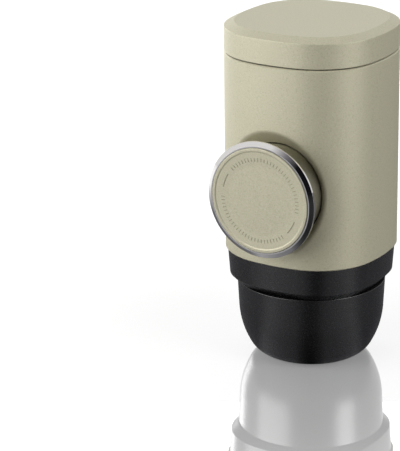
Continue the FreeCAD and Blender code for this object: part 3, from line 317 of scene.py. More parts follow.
def new_material(name: str) -> tuple[Material, NodeTree, Node]:
    """Start a material with an empty Principled shader.

    Args:
        name: the material's name.

    Returns:
        The material, its node tree and its shader.
    """
    material = bpy.data.materials.new(name)
    tree = empty_tree(material)
    shader = add_node(tree, "BsdfPrincipled")
    add_node(tree, "OutputMaterial", inputs={"Surface": shader})
    return material, tree, shader


class Finish(Enum):
    """The finishes of the maker, each named for its material slot, and the marks' painted shade."""

    # ABS with mica and mineral fleck: a satin grain whose broad sheen follows the light.
    SAND_PLASTIC = MouldedPlastic(
        "abs_sand_mica", "b5b199", "8f8b78", "c9c6b3", fleck=0.4, fleck_size=0.5,
        roughness=0.52, grain_size=0.35, grain_depth=0.015, mica=0.32)
    # The same ABS a tone darker: painted shade on the face's raised marks, standing for the shade
    # in engraved lines.
    ENGRAVING = MouldedPlastic(
        "abs_sand_painted_shade", "8d8973", "7c7864", "9a967f", fleck=0.4, fleck_size=0.5,
        roughness=0.55, grain_size=0.35, grain_depth=0.01)
    # Glass-filled polypropylene, nearly black, with a coarse and rather glossy grain.
    BLACK_PLASTIC = MouldedPlastic(
        "polypropylene_black", "0e0e0f", "060607", "29292b", fleck=0.7, fleck_size=0.55,
        roughness=0.28, grain_size=0.5, grain_depth=0.05, shine=0.75)
    # Copolyester tank, dark and smooth.
    TANK_PLASTIC = MouldedPlastic(
        "copolyester_smoke", "3d3f42", "36383b", "44464a", fleck=0.3, fleck_size=1.2,
        roughness=0.28, grain_size=0.8, grain_depth=0.01)
    # Acetal, the natural white of pump parts.
    PUMP_PLASTIC = MouldedPlastic(
        "acetal_natural", "d9d7ce", "cfccc2", "e2e0d8", fleck=0.3, fleck_size=0.9,
        roughness=0.36, grain_size=0.5, grain_depth=0.01)
    # Stainless steel turned and mirror polished.
    POLISHED_STEEL = Steel(
        "stainless_mirror", "d4d2d0", roughness=0.09, line_size=1.2, line_depth=0.002)
    # Stainless steel as stamped or headed.
    STEEL = Steel(
        "stainless_stamped", "b4b2ad", roughness=0.30, line_size=0.3, line_depth=0.006)
    # Stainless spring wire, drawn.
    SPRING_STEEL = Steel(
        "stainless_drawn_wire", "aaa8a4", roughness=0.24, line_size=0.2, line_depth=0.004)
    # Nitrile rubber.
    BLACK_RUBBER = SoftSeal("nitrile_black", "1b1b1c", roughness=0.55, milky=0.0)
    # Food-grade silicone, milky.
    CLEAR_SILICONE = SoftSeal("silicone_milky", "cfccc2", roughness=0.42, milky=0.35)


@cache
def material_of(finish: Finish) -> Material:
    """The material of a finish, made once."""
    return finish.value.build()


def dress(piece: Object, finish: Finish) -> None:
    """Give a piece one material."""
    piece.data.materials.clear()
    piece.data.materials.append(material_of(finish))


# ---- surfaces

@dataclass(frozen=True)
class Corner:
    """A corner of an outline: its offset from the axis or section, its height and its rounding."""

    offset: float
    height: float
    radius: float = 0.1


Outline = tuple[Array, Array]
Section = tuple[Array, Array]


def rounded_outline(corners: Sequence[Corner], closed: bool = True) -> Outline:
    """Sample an outline whose corners are rounded by arcs tangent to both sides.

    At a corner where the outline turns by an angle a, an arc of radius r starts r tan(a / 2)
    before the corner, and its centre lies r to the side that the outline turns to. Straight
    sides get no point between two arcs, so they stay flat in shading.

    Args:
        corners: the corners in order, anticlockwise round the solid.
        closed: whether the last corner joins the first; otherwise both are single points.

    Returns:
        The points (offset, height), and the unit normals to the right of the way round.
    """
    spots = np.array([(c.offset, c.height) for c in corners])
    incoming = spots - np.roll(spots, 1, axis=0)
    incoming /= np.linalg.norm(incoming, axis=1)[:, None]
    outgoing = np.roll(incoming, -1, axis=0)
    if not closed:
        incoming[0], outgoing[-1] = outgoing[0], incoming[-1]
    points, normals = [], []
    for corner, spot, before, after in zip(corners, spots, incoming, outgoing):
        turn = math.atan2(before[0] * after[1] - before[1] * after[0], float(before @ after))
        side = math.copysign(1.0, turn)
        start = spot - before * corner.radius * math.tan(abs(turn) / 2)
        centre = start + side * corner.radius * np.array((-before[1], before[0]))
        finest = 2.0 * math.acos(max(1.0 - CHORD / max(corner.radius, CHORD), 0.9))
        count = 1 if turn == 0.0 else max(3, math.ceil(abs(turn) / finest) + 1)
        heading = math.atan2(before[1], before[0]) + turn * np.linspace(0.0, 1.0, count)
        normal = np.stack((np.sin(heading), -np.cos(heading)), axis=1)
        points.append(centre + side * corner.radius * normal)
        normals.append(normal)
    return np.vstack(points), np.vstack(normals)


def compass(angle: Array) -> Array:
    """The unit vectors (cosine, sine) of some angles, along a new last axis."""
    return np.stack((np.cos(angle), np.sin(angle)), axis=-1)


def circle_section(centre: Pair = (0.0, 0.0), count: int = 160) -> Section:
    """A section that is a point, so that a carried outline's offset is its radius.

    Args:
        centre: the point.
        count: how many directions.

    Returns:
        The base points, all at the centre, and the outward unit normals.
    """
    normal = compass(np.arange(count) * FULL_TURN / count)
    return np.zeros_like(normal) + np.array(centre), normal


@dataclass(frozen=True)
class Squircle:
    """The body's section: a square with bulged sides and rounded corners, of eight arcs.

    Attributes:
        half_width: axis to the middle of a side.
        side_radius: arc of a side.
        corner_radius: arc of a corner.
    """

    half_width: float = 30.0
    side_radius: float = 62.0
    corner_radius: float = 23.5

    def corner_centre(self) -> float:
        """How far a corner's centre lies from the axis along X and along Y.

        Returns:
            The distance c for which the side's arc and the corner's arc are tangent: the corner's
            centre (c, c) lies side_radius - corner_radius from the side's centre.
        """
        back = self.half_width - self.side_radius
        gap = self.side_radius - self.corner_radius
        return (back + math.sqrt(2.0 * gap ** 2 - back ** 2)) / 2.0

    def section(self, steps: int = 28) -> Section:
        """Sample the section.

        The angle of the outward normal runs once round. Within asin(c / gap) of a side's own
        direction the point lies on that side's arc, and elsewhere on a corner's arc.

        Args:
            steps: samples on each arc.

        Returns:
            Points and outward unit normals, anticlockwise.
        """
        centre = self.corner_centre()
        reach = math.asin(centre / (self.side_radius - self.corner_radius))
        quarter = np.concatenate((
            np.linspace(-reach, reach, steps, endpoint=False),
            np.linspace(reach, math.pi / 2 - reach, steps, endpoint=False)))
        angle = (quarter[None, :] + np.arange(4)[:, None] * math.pi / 2).ravel()
        on_side = np.tile(np.arange(2 * steps) < steps, 4)
        base = np.repeat(np.arange(4) * math.pi / 2, 2 * steps)
        normal, ahead = compass(angle), compass(base)
        left = ahead[:, ::-1] * (-1.0, 1.0)
        side_centre = ahead * (self.half_width - self.side_radius)
        corner_centre = ahead * centre + left * centre
        points = np.where(on_side[:, None], side_centre + normal * self.side_radius,
                          corner_centre + normal * self.corner_radius)
        return points, normal


class Facing(Enum):
    """Which way a piece's height runs: up the body, or out of the front along the pump.

    A value says where the section's x, its y and the height go, and where their origin is, in mm.
    """

    UP = ((1.0, 0.0, 0.0), (0.0, 1.0, 0.0), (0.0, 0.0, 1.0), (0.0, 0.0, 0.0))
    FRONT = ((1.0, 0.0, 0.0), (0.0, 0.0, 1.0), (0.0, -1.0, 0.0), (0.0, 0.0, 69.5))

    def turn(self, vectors: Array) -> Array:
        """Turn rows of (section x, section y, height) into the scene's axes."""
        return vectors @ np.array(self.value[:3])

    def place(self, points: Array) -> Array:
        """Turn rows in the same way and move them by the place of their origin, in mm."""
        return self.turn(points) + np.array(self.value[3])


def new_piece(name: str, facing: Facing, points: Array, faces: list[Sequence[int]],
              normals: Optional[Array] = None) -> Object:
    """Make an object of a mesh and link it to the scene.

    Args:
        name: the piece's name.
        facing: which way the third coordinate runs.
        points: vertices in mm.
        faces: vertex numbers of each face, anticlockwise from outside.
        normals: one outward normal for each vertex, or nothing for flat faces.

    Returns:
        The object, at the origin.
    """
    mesh = bpy.data.meshes.new(name)
    mesh.from_pydata((facing.place(points) * MM).tolist(), [], faces)
    if normals is not None:
        mesh.polygons.foreach_set("use_smooth", [True] * len(mesh.polygons))
        mesh.normals_split_custom_set_from_vertices(facing.turn(normals).tolist())
    piece = bpy.data.objects.new(name, mesh)
    bpy.context.scene.collection.objects.link(piece)
    return piece


def joined(plan: Array, tall: Array) -> Array:
    """Join plan vectors and heights into one list of vectors.

    Args:
        plan: (x, y) by row and column.
        tall: heights that fit or spread over the rows and columns, with a last axis of one.

    Returns:
        Rows of (x, y, height).
    """
    heights = np.broadcast_to(tall, (*plan.shape[:2], 1))
    return np.concatenate((plan, heights), axis=2).reshape(-1, 3)


def quads(rows: int, columns: int, wrap: bool) -> list[list[int]]:
    """Join a grid of vertices by quads that go round in the second direction.

    Args:
        rows: samples along the first direction.
        columns: samples round the second.
        wrap: whether the last row joins the first.

    Returns:
        Four vertex numbers for each quad.
    """
    row = np.arange(rows if wrap else rows - 1)[:, None]
    column = np.arange(columns)[None, :]
    here, beside = row * columns + column, row * columns + (column + 1) % columns
    above = ((row + 1) % rows) * columns + column
    beyond = ((row + 1) % rows) * columns + (column + 1) % columns
    return np.stack((here, beside, beyond, above), axis=-1).reshape(-1, 4).tolist()


def caps(rows: int, columns: int) -> list[list[int]]:
    """Close the first and the last row of a grid over two middle vertices after the grid's own.

    Args:
        rows: rows of the grid.
        columns: columns of the grid.

    Returns:
        Three vertex numbers for each triangle.
    """
    column = np.arange(columns)
    following = (column + 1) % columns
    first, last = rows * columns, (rows - 1) * columns
    low = np.stack((np.full(columns, first), following, column), axis=-1)
    high = np.stack((np.full(columns, first + 1), last + column, last + following), axis=-1)
    return np.vstack((low, high)).tolist()


def carried(name: str, section: Section, corners: Sequence[Corner], facing: Facing = Facing.UP,
            solid: bool = False) -> Object:
    """Carry a rounded outline round a section.

    The point for section sample u and outline sample v is base(u) + offset(v) normal(u), at
    height(v), and its normal is the outline's, with its first part along the section's normal.

    Args:
        name: the piece's name.
        section: base points and outward normals.
        corners: the outline's corners, anticlockwise round the solid.
        facing: which way the height runs.
        solid: whether the outline's ends are closed over to the middle, not joined to each other.

    Returns:
        The piece.
    """
    base, ahead = section
    spots, normals = rounded_outline(corners, closed=not solid)
    columns, rows = len(base), len(spots)
    points = joined(base + spots[:, None, 0:1] * ahead, spots[:, None, 1:2])
    directions = joined(normals[:, None, 0:1] * ahead, normals[:, None, 1:2])
    faces = quads(rows, columns, not solid)
    if solid:
        middle = base.mean(axis=0)
        ends = [(*middle, spots[0, 1]), (*middle, spots[-1, 1])]
        points = np.vstack((points, ends))
        upright = [(0.0, 0.0, normals[0, 1]), (0.0, 0.0, normals[-1, 1])]
        directions = np.vstack((directions, upright))
        faces += caps(rows, columns)
    return new_piece(name, facing, points, faces, directions)


@dataclass(frozen=True)
class Helix:
    """A helix about the height's axis: where it starts, how it climbs, and how its ends fade.

    Attributes:
        radius: of the line.
        turns: how often it goes round.
        turn_marks: turns at which a height is given.
        heights: the height at each of those turns.
        start: the angle at which it starts, in turns.
        fade: turns over which each end shrinks, or 0.
        tip: share of its size that a shrunk end keeps.
        centre: the axis's place across the height.
        steps: samples in each turn.
    """

    radius: float
    turns: float
    turn_marks: tuple[float, ...]
    heights: tuple[float, ...]
    start: float = 0.0
    fade: float = 0.0
    tip: float = 0.02
    centre: Pair = (0.0, 0.0)
    steps: int = 72

    def wound(self, name: str, outline: Outline, facing: Facing) -> Object:
        """Wind an outline along the helix, with flat ends.

        The outline's offset is measured outward from the line and its height along the axis.

        Args:
            name: the piece's name.
            outline: the wire's or ridge's outline and its normals, anticlockwise.
            facing: which way the axis runs.

        Returns:
            The piece.
        """
        spots, normals = outline
        count, columns = math.ceil(self.turns * self.steps) + 1, len(spots)
        turn = np.linspace(0.0, self.turns, count)
        climb = np.interp(turn, self.turn_marks, self.heights)
        left = np.minimum(turn, self.turns - turn)
        scale = np.clip(left / self.fade, self.tip, 1.0) if self.fade else np.ones(count)
        ahead = compass((turn + self.start) * FULL_TURN)[:, None, :]
        reach = self.radius + spots[:, 0] * scale[:, None]
        tall = climb[:, None] + spots[:, 1] * scale[:, None]
        points = joined(reach[:, :, None] * ahead + np.array(self.centre), tall[:, :, None])
        directions = joined(normals[:, 0:1] * ahead, normals[:, 1:2])
        faces = [face[::-1] for face in quads(count, columns, False)]
        faces.append(list(range(columns)))
        faces.append([(count - 1) * columns + i for i in reversed(range(columns))])
        return new_piece(name, facing, points, faces, directions)


def round_wire(radius: float, sides: int = 14) -> Outline:
    """The outline of a round wire.

    Args:
        radius: of the wire.
        sides: samples round it.

    Returns:
        Points about the wire's centre, and normals.
    """
    normal = circle_section(count=sides)[1]
    return radius * normal, normal


@dataclass(frozen=True)
class Thread:
    """A thread of two starts, as ridges on an upright cylinder.

    Attributes:
        name: of its ridges, before their number.
        root: the cylinder's radius.
        crest: the radius at the ridges' tops.
        low: the height at which it begins.
        high: the height at which it ends.
        inset: how far a ridge's middle stays inside of both.
        turns: how far a ridge goes round.
        foot: the ridge's height along the axis at the root.
        land: its height along the axis at the crest.
        start: where the first one starts, in turns.
        sunk: how far a ridge's foot goes into the cylinder.
    """

    name: str
    root: float
    crest: float
    low: float
    high: float
    inset: float
    turns: float
    foot: float
    land: float
    start: float = 0.0
    sunk: float = 0.3

    def ridges(self) -> list[Object]:
        """Wind both ridges, with ends that fade away.

        Returns:
            The ridges.
        """
        high, foot, land = self.crest - self.root, self.foot / 2, self.land / 2
        outline = rounded_outline([
            Corner(-self.sunk, -foot, 0.05), Corner(0.0, -foot, 0.05), Corner(high, -land),
            Corner(high, land), Corner(0.0, foot, 0.05), Corner(-self.sunk, foot, 0.05)])
        ends = (self.low + self.inset, self.high - self.inset)
        return [Helix(self.root, self.turns, (0.0, self.turns), ends, fade=0.04, steps=160,
                      start=self.start + number / 2).wound(
            f"{self.name}_{number + 1}", outline, Facing.UP) for number in range(2)]


# ---- studio

def stand(thing: Object, right: Array, up: Array, back: Array, place: Point) -> None:
    """Put a lamp or a camera into the scene.

    Args:
        thing: the lamp or the camera.
        right: the direction to its right.
        up: the direction over it.
        back: the direction behind it.
        place: where it stands, in metres.
    """
    axes = np.eye(4)
    axes[:3] = np.stack((right, up, back, place), axis=1)
    thing.matrix_world = Matrix(axes.tolist())
    bpy.context.scene.collection.objects.link(thing)


class Spared(Enum):
    """Which of the knob's pieces a lamp leaves out by light linking."""

    RING = slice(1, 2)
    KNOB = slice(0, 4)


@dataclass(frozen=True)
class Lamp:
    """A rectangular soft light.

    Attributes:
        name: the lamp's name.
        place: where it stands, in metres.
        target: what it points at, in metres.
        size: its width and height in metres.
        power: in watts.
        spares: the pieces that it doesn't reach.
    """

    name: str
    place: Point
    target: Point
    size: Pair
    power: float
    spares: Spared

    def build(self, knob: Sequence[Object]) -> None:
        """Hang the lamp.

        Args:
            knob: the knob's pieces, of which it spares some.
        """
        light = bpy.data.lights.new(self.name, "AREA")
        light.shape = "RECTANGLE"
        light.size, light.size_y = self.size
        light.energy = self.power
        lamp = bpy.data.objects.new(self.name, light)
        back = np.array(self.place) - np.array(self.target)
        back /= np.linalg.norm(back)
        right = np.cross((0.0, 0.0, 1.0), back)
        right /= np.linalg.norm(right)
        stand(lamp, right, np.cross(back, right), back, self.place)
        shade = bpy.data.collections.new(self.name + "_shade")
        for piece in knob[self.spares.value]:
            shade.objects.link(piece)
        for linked in shade.collection_objects:
            linked.light_linking.link_state = "EXCLUDE"
        lamp.light_linking.receiver_collection = shade


@dataclass
class Studio:
    """The white table, the soft lights, the white surround and the camera.

    Places are in metres. The stops say what metal mirrors of the surround, what light the surround
    sheds, and the table's painted tone, shade and light, to all but the eye, each over the cosine
    between a direction and the middle of the dark zone.
    """

    camera_place: Point = (0.36933, -0.67821, 0.32054)
    yaw: float = 0.5521
    pitch: float = 0.3384
    roll: float = -0.0145
    lens: float = 176.33
    sensor: float = 36.0
    clip_end: float = 20.0
    picture: tuple[int, int] = (400, 451)
    ambient: float = 0.36
    dark_direction: Point = (0.46, -0.88, 0.09)
    mirrored_stops: Stops = ((0.60, "ffffff"), (0.80, "8a888e"), (0.93, "17161a"))
    shed_stops: Stops = ((0.0, "ffffff"), (0.5, "a0a0a0"), (0.8, "303030"))
    table_colour: str = "cccccc"
    # The table's painted tone to all but the eye: painted shade on the camera's side, grey
    # elsewhere.
    table_painted_tone_stops: Stops = ((0.30, "7c7c80"), (0.55, "c4c4c8"), (0.95, "8c8c90"),
                          (0.995, "1c1c1e"))
    table_gloss: float = 0.62
    # The table's painted glow to the eye, weaker near the object and stronger further out, and the
    # distances over which it rises.
    table_lift: Pair = (0.5, 1.1)
    lift_reach: Pair = (0.06, 0.2)
    # Where a painted glow rises far out on the left, to all but the eye, and its strength.
    painted_glow_span: Pair = (-0.13, -0.3)
    painted_glow_strength: float = 1.2
    floor_size: float = 6.0
    lamps: tuple[Lamp, ...] = (
        Lamp("softbox_front", (-0.62, -0.94, 0.38), (0.0, 0.0, 0.07), (1.2, 1.1), 16.2,
             Spared.RING),
        Lamp("softbox_left", (-0.95, 0.4, 0.2), (0.0, 0.0, 0.05), (0.4, 0.8), 3.8, Spared.RING),
        Lamp("softbox_right", (0.96, -0.1, 0.3), (0.0, 0.0, 0.07), (0.5, 1.0), 8.5, Spared.KNOB),
        Lamp("softbox_top", (-0.4, 0.7, 0.8), (0.0, 0.0, 0.1), (1.0, 0.8), 1.6, Spared.KNOB),
    )

    def build(self, knob: Sequence[Object]) -> None:
        """Set up the surround, the floor, the lamps and the camera.

        Args:
            knob: the knob's pieces.
        """
        self.surround()
        self.floor()
        for lamp in self.lamps:
            lamp.build(knob)
        self.camera()
        LOG.info("studio: %d lamps", len(self.lamps))

    def nearness(self, tree: NodeTree, direction: Value) -> NodeSocket:
        """The cosine between a direction and the middle of the dark zone."""
        return add_node(tree, "VectorMath", {"operation": "DOT_PRODUCT"}, {
            0: direction, 1: self.dark_direction}).outputs["Value"]

    def surround(self) -> None:
        """A white world to the eye, in the table's mirror and in reflections.

        Only in front on the right is it dark, for metal and for the light that it sheds, which
        is dimmer.
        """
        world = bpy.data.worlds.new("studio")
        bpy.context.scene.world = world
        tree = empty_tree(world)
        path = add_node(tree, "LightPath").outputs
        near = self.nearness(tree, add_node(tree, "TexCoord").outputs["Generated"])
        mirrored = add_node(tree, "Background", inputs={
            "Color": ramp(tree, near, self.mirrored_stops), "Strength": 1.0})
        white = add_node(tree, "Background", inputs={"Color": linear("ffffff"), "Strength": 1.0})
        dim = add_node(tree, "Background", inputs={
            "Color": ramp(tree, near, self.shed_stops), "Strength": self.ambient})
        direct = add_node(tree, "Math", {"operation": "MAXIMUM"}, {
            0: path["Is Camera Ray"], 1: path["Is Transmission Ray"]})
        seen = add_node(tree, "Math", {"operation": "MAXIMUM"}, {
            0: direct, 1: path["Is Singular Ray"]})
        other = add_node(tree, "MixShader", inputs={
            0: path["Is Glossy Ray"], 1: dim, 2: mirrored})
        both = add_node(tree, "MixShader", inputs={0: seen, 1: other, 2: white})
        add_node(tree, "OutputWorld", inputs={"Surface": both})

    def floor(self) -> None:
        """A glossy white table that keeps the object's shadow and its mirror image, with a painted
        glow that is weaker near the object.

        To all rays but the eye's it shows a painted tone instead: painted shade on the camera's
        side and brighter elsewhere, with a painted glow that is strongest far out on the left,
        which lights the object and shows in its reflections.
        """
        corners = np.array([(-1.0, -1.0, 0.0), (1.0, -1.0, 0.0), (1.0, 1.0, 0.0), (-1.0, 1.0, 0.0)])
        floor = new_piece("floor", Facing.UP, corners * self.floor_size / 2 / MM, [(0, 1, 2, 3)])
        material = bpy.data.materials.new("acrylic_table_painted_light")
        tree = empty_tree(material)
        place = add_node(tree, "TexCoord").outputs["Object"]
        distance = add_node(tree, "VectorMath", {"operation": "LENGTH"}, {0: place})
        raised = add_node(tree, "MapRange", {"interpolation_type": "SMOOTHSTEP"}, {
            "Value": distance.outputs["Value"], "From Min": self.lift_reach[0],
            "From Max": self.lift_reach[1], "To Min": self.table_lift[0],
            "To Max": self.table_lift[1]})
        matt = add_node(tree, "BsdfDiffuse", inputs={"Color": linear(self.table_colour)})
        # The painted glow that the eye sees on the table.
        lift = add_node(tree, "Emission", inputs={"Color": linear("ffffff"), "Strength": raised})
        base = add_node(tree, "AddShader", inputs={0: matt, 1: lift})
        mirror = add_node(tree, "BsdfGlossy", inputs={"Color": linear("ffffff"), "Roughness": 0.0})
        shown = add_node(tree, "MixShader", inputs={0: self.table_gloss, 1: base, 2: mirror})
        # To all but the eye: painted shade on the camera's side and a painted glow far out on the
        # left.
        outward = add_node(tree, "VectorMath", {"operation": "NORMALIZE"}, {0: place})
        tone = ramp(tree, self.nearness(tree, outward), self.table_painted_tone_stops)
        dull = add_node(tree, "BsdfDiffuse", inputs={"Color": tone})
        far = add_node(tree, "MapRange", inputs={
            "Value": add_node(tree, "SeparateXYZ", inputs={0: place}),
            "From Min": self.painted_glow_span[0], "From Max": self.painted_glow_span[1], "To Max": self.painted_glow_strength})
        glow = add_node(tree, "Emission", inputs={"Color": linear("ffffff"), "Strength": far})
        unseen = add_node(tree, "AddShader", inputs={0: dull, 1: glow})
        both = add_node(tree, "MixShader", inputs={
            0: add_node(tree, "LightPath").outputs["Is Camera Ray"], 1: unseen, 2: shown})
        add_node(tree, "OutputMaterial", inputs={"Surface": both})
        floor.data.materials.append(material)

    def camera(self) -> None:
        """Stand the camera by its yaw about Z, its pitch downwards and its roll."""
        back = np.array((math.sin(self.yaw) * math.cos(self.pitch),
                         -math.cos(self.yaw) * math.cos(self.pitch), math.sin(self.pitch)))
        level = np.array((math.cos(self.yaw), math.sin(self.yaw), 0.0))
        upright = np.cross(back, level)
        right = level * math.cos(self.roll) + upright * math.sin(self.roll)
        up = upright * math.cos(self.roll) - level * math.sin(self.roll)
        lens = bpy.data.cameras.new("camera")
        lens.lens = self.lens
        lens.sensor_width = self.sensor
        lens.clip_end = self.clip_end
        camera = bpy.data.objects.new("camera", lens)
        stand(camera, right, up, back, self.camera_place)
        scene = bpy.context.scene
        scene.camera = camera
        scene.render.resolution_x, scene.render.resolution_y = self.picture
        scene.view_settings.view_transform = "Standard"


# ---- sub-assemblies

def settle(piece: Object, body: str, slot: str, *nodes: str) -> Object:
    """Put a piece on its body, in its finish, in the place of the nodes that it stands for.

    Args:
        piece: the piece.
        body: the body that it moves with.
        slot: the material slot.
        nodes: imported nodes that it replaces.

    Returns:
        The piece.
    """
    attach(piece, body)
    if nodes:
        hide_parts(*nodes)
    dress(piece, Finish[slot.upper()])
    LOG.info("%s on %s: %d faces", piece.name, body, len(piece.data.polygons))
    return piece


@dataclass
class Knob:
    """The pump knob: its skirt, its polished ring and its face with a plain graduated band."""

    body: str = "knob"
    ring_back: float = 36.4
    ring_front: float = 38.4
    ring_radius: float = 21.5
    edge: float = 0.4
    bevel_width: float = 1.55
    bevel_depth: float = 0.9
    core_radius: float = 17.0
    opening: float = 19.45
    face_back: float = 37.1
    face_front: float = 38.7
    face_radius: float = 19.35
    lip_width: float = 1.05
    groove: float = 0.2
    slope: float = 0.45
    band: float = 5.2
    dish: float = 0.2
    ticks: int = 72
    tick_size: Point = (1.5, 0.25, 0.06)
    dash_size: Point = (0.42, 5.4, 0.06)
    dash_turns: Pair = (0.44, 0.912)
    mark_radius: float = 15.1
    mark_top: float = 0.84
    clear_turns: float = 0.055
    stations: int = 9

    def build(self) -> list[Object]:
        """Build the ring, the face and its marks.

        Returns:
            Everything that shows of the knob.
        """
        ring = settle(self.ring(), self.body, "polished_steel", "knob_ring")
        face = settle(self.face(), self.body, "sand_plastic", "knob_face")
        marks = settle(self.marks(), self.body, "sand_plastic")
        # The marks take a darker tone as painted shade, standing for the shade in engraved lines.
        dress(marks, Finish.ENGRAVING)
        return [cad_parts["knob_shell"], ring, face, marks]

    def ring(self) -> Object:
        """Turn the ring: a wide bevel between two narrow lands, its edges just broken.

        Returns:
            The ring.
        """
        return carried("ring_polished", circle_section(count=256), [
            Corner(self.core_radius, self.ring_back, 0.08),
            Corner(self.ring_radius - self.edge, self.ring_back, 0.12),
            Corner(self.ring_radius, self.ring_back + self.edge, 0.12),
            Corner(self.ring_radius, self.ring_front - self.bevel_depth, 0.14),
            Corner(self.ring_radius - self.bevel_width, self.ring_front, 0.14),
            Corner(self.opening, self.ring_front, 0.08),
            Corner(self.opening, self.face_back, 0.05),
            Corner(self.core_radius, self.face_back, 0.05)], Facing.FRONT)

    def face(self) -> Object:
        """Turn the face: a raised lip, a short drop, a band that slopes on and a flat middle.

        Returns:
            The face disc.
        """
        lip = self.face_radius - self.lip_width
        floor = self.face_front - self.groove
        return carried("face_disc", circle_section(count=224), [
            Corner(1.0, self.face_back),
            Corner(self.face_radius, self.face_back),
            Corner(self.face_radius, self.face_front, 0.3),
            Corner(lip, self.face_front, 0.2),
            Corner(lip - self.slope, floor, 0.25),
            Corner(lip - self.slope - self.band, floor - self.dish, 2.0),
            Corner(1.0, floor - self.dish)], Facing.FRONT, solid=True)

    def marks(self) -> Object:
        """Lay the marks of the band: even ticks, and two dashes with a clear space each side.

        A mark is a bar with a smaller top, carried a short way round the axis. Its foot is sunk
        into the band's floor.

        Returns:
            All the marks as one piece.
        """
        middle = (np.arange(self.ticks) + 0.5) / self.ticks
        apart = np.abs((middle[:, None] - np.array(self.dash_turns) + 0.5) % 1.0 - 0.5)
        middle = middle[apart.min(axis=1) > self.clear_turns]
        turns = np.concatenate((middle, self.dash_turns))
        sizes = np.array([self.tick_size] * len(middle) + [self.dash_size] * 2)
        top = self.mark_top / 2
        corner = np.array([(-0.5, -1.0), (-top, 1.0), (top, 1.0), (0.5, -1.0)])
        station = np.linspace(-0.5, 0.5, self.stations)
        reach = self.mark_radius + corner[:, 0] * sizes[:, None, None, 0]
        angle = (turns[:, None] * FULL_TURN
                 + station * sizes[:, None, 1] / self.mark_radius)[:, :, None]
        outer = self.face_radius - self.lip_width - self.slope
        sunk = self.groove + self.dish * (outer - self.mark_radius) / self.band
        height = self.face_front - sunk + corner[:, 1] * sizes[:, None, None, 2]
        points = np.stack(np.broadcast_arrays(
            reach * np.cos(angle), reach * np.sin(angle), height), axis=-1).reshape(-1, 3)
        last = 4 * (self.stations - 1)
        one = quads(self.stations, 4, False)
        one += [[3, 2, 1, 0], [last, last + 1, last + 2, last + 3]]
        faces = np.array(one) + 4 * self.stations * np.arange(len(turns))[:, None, None]
        return new_piece("face_marks", Facing.FRONT, points, faces.reshape(-1, 4).tolist())


@dataclass
class Springs:
    """The two compression springs, wound of round wire with closed ends."""

    return_wire: float = 0.6
    return_radius: float = 7.6
    return_ends: Pair = (14.05, 34.75)
    return_turns: float = 7.5
    stroke: float = 7.9
    valve_wire: float = 0.25
    valve_radius: float = 2.0
    valve_back: float = 10.4
    valve_ends: Pair = (47.45, 51.03)
    valve_turns: float = 4.5
    lift: float = 1.2
    flat_turns: float = 0.75
    flat_pitch: float = 2.02

    def climb(self, wire: float, ends: Pair, turns: float) -> tuple[tuple[float, ...], ...]:
        """Work out how a spring climbs: its flat turns at each end rise by the wire alone.

        Args:
            wire: the wire's radius.
            ends: the spring's lowest and highest point.
            turns: how often the wire goes round.

        Returns:
            Turns and the wire's height at each.
        """
        low, high = ends[0] + wire, ends[1] - wire
        rise = self.flat_turns * self.flat_pitch * wire
        return ((0.0, self.flat_turns, turns - self.flat_turns, turns),
                (low, low + rise, high - rise, high))

    def build(self) -> None:
        """Wind both springs, each with a mesh of its own."""
        marks, heights = self.climb(self.return_wire, self.return_ends, self.return_turns)
        coil = Helix(self.return_radius, self.return_turns, marks, heights, steps=64).wound(
            "return_coil", round_wire(self.return_wire), Facing.FRONT)
        settle(coil, "body", "spring_steel", "return_spring")
        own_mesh(coil)
        marks, heights = self.climb(self.valve_wire, self.valve_ends, self.valve_turns)
        coil = Helix(self.valve_radius, self.valve_turns, marks, heights, steps=40,
                     centre=(0.0, self.valve_back)).wound(
            "valve_coil", round_wire(self.valve_wire, 10), Facing.UP)
        settle(coil, "body", "spring_steel", "outlet_valve_spring")
        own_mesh(coil)


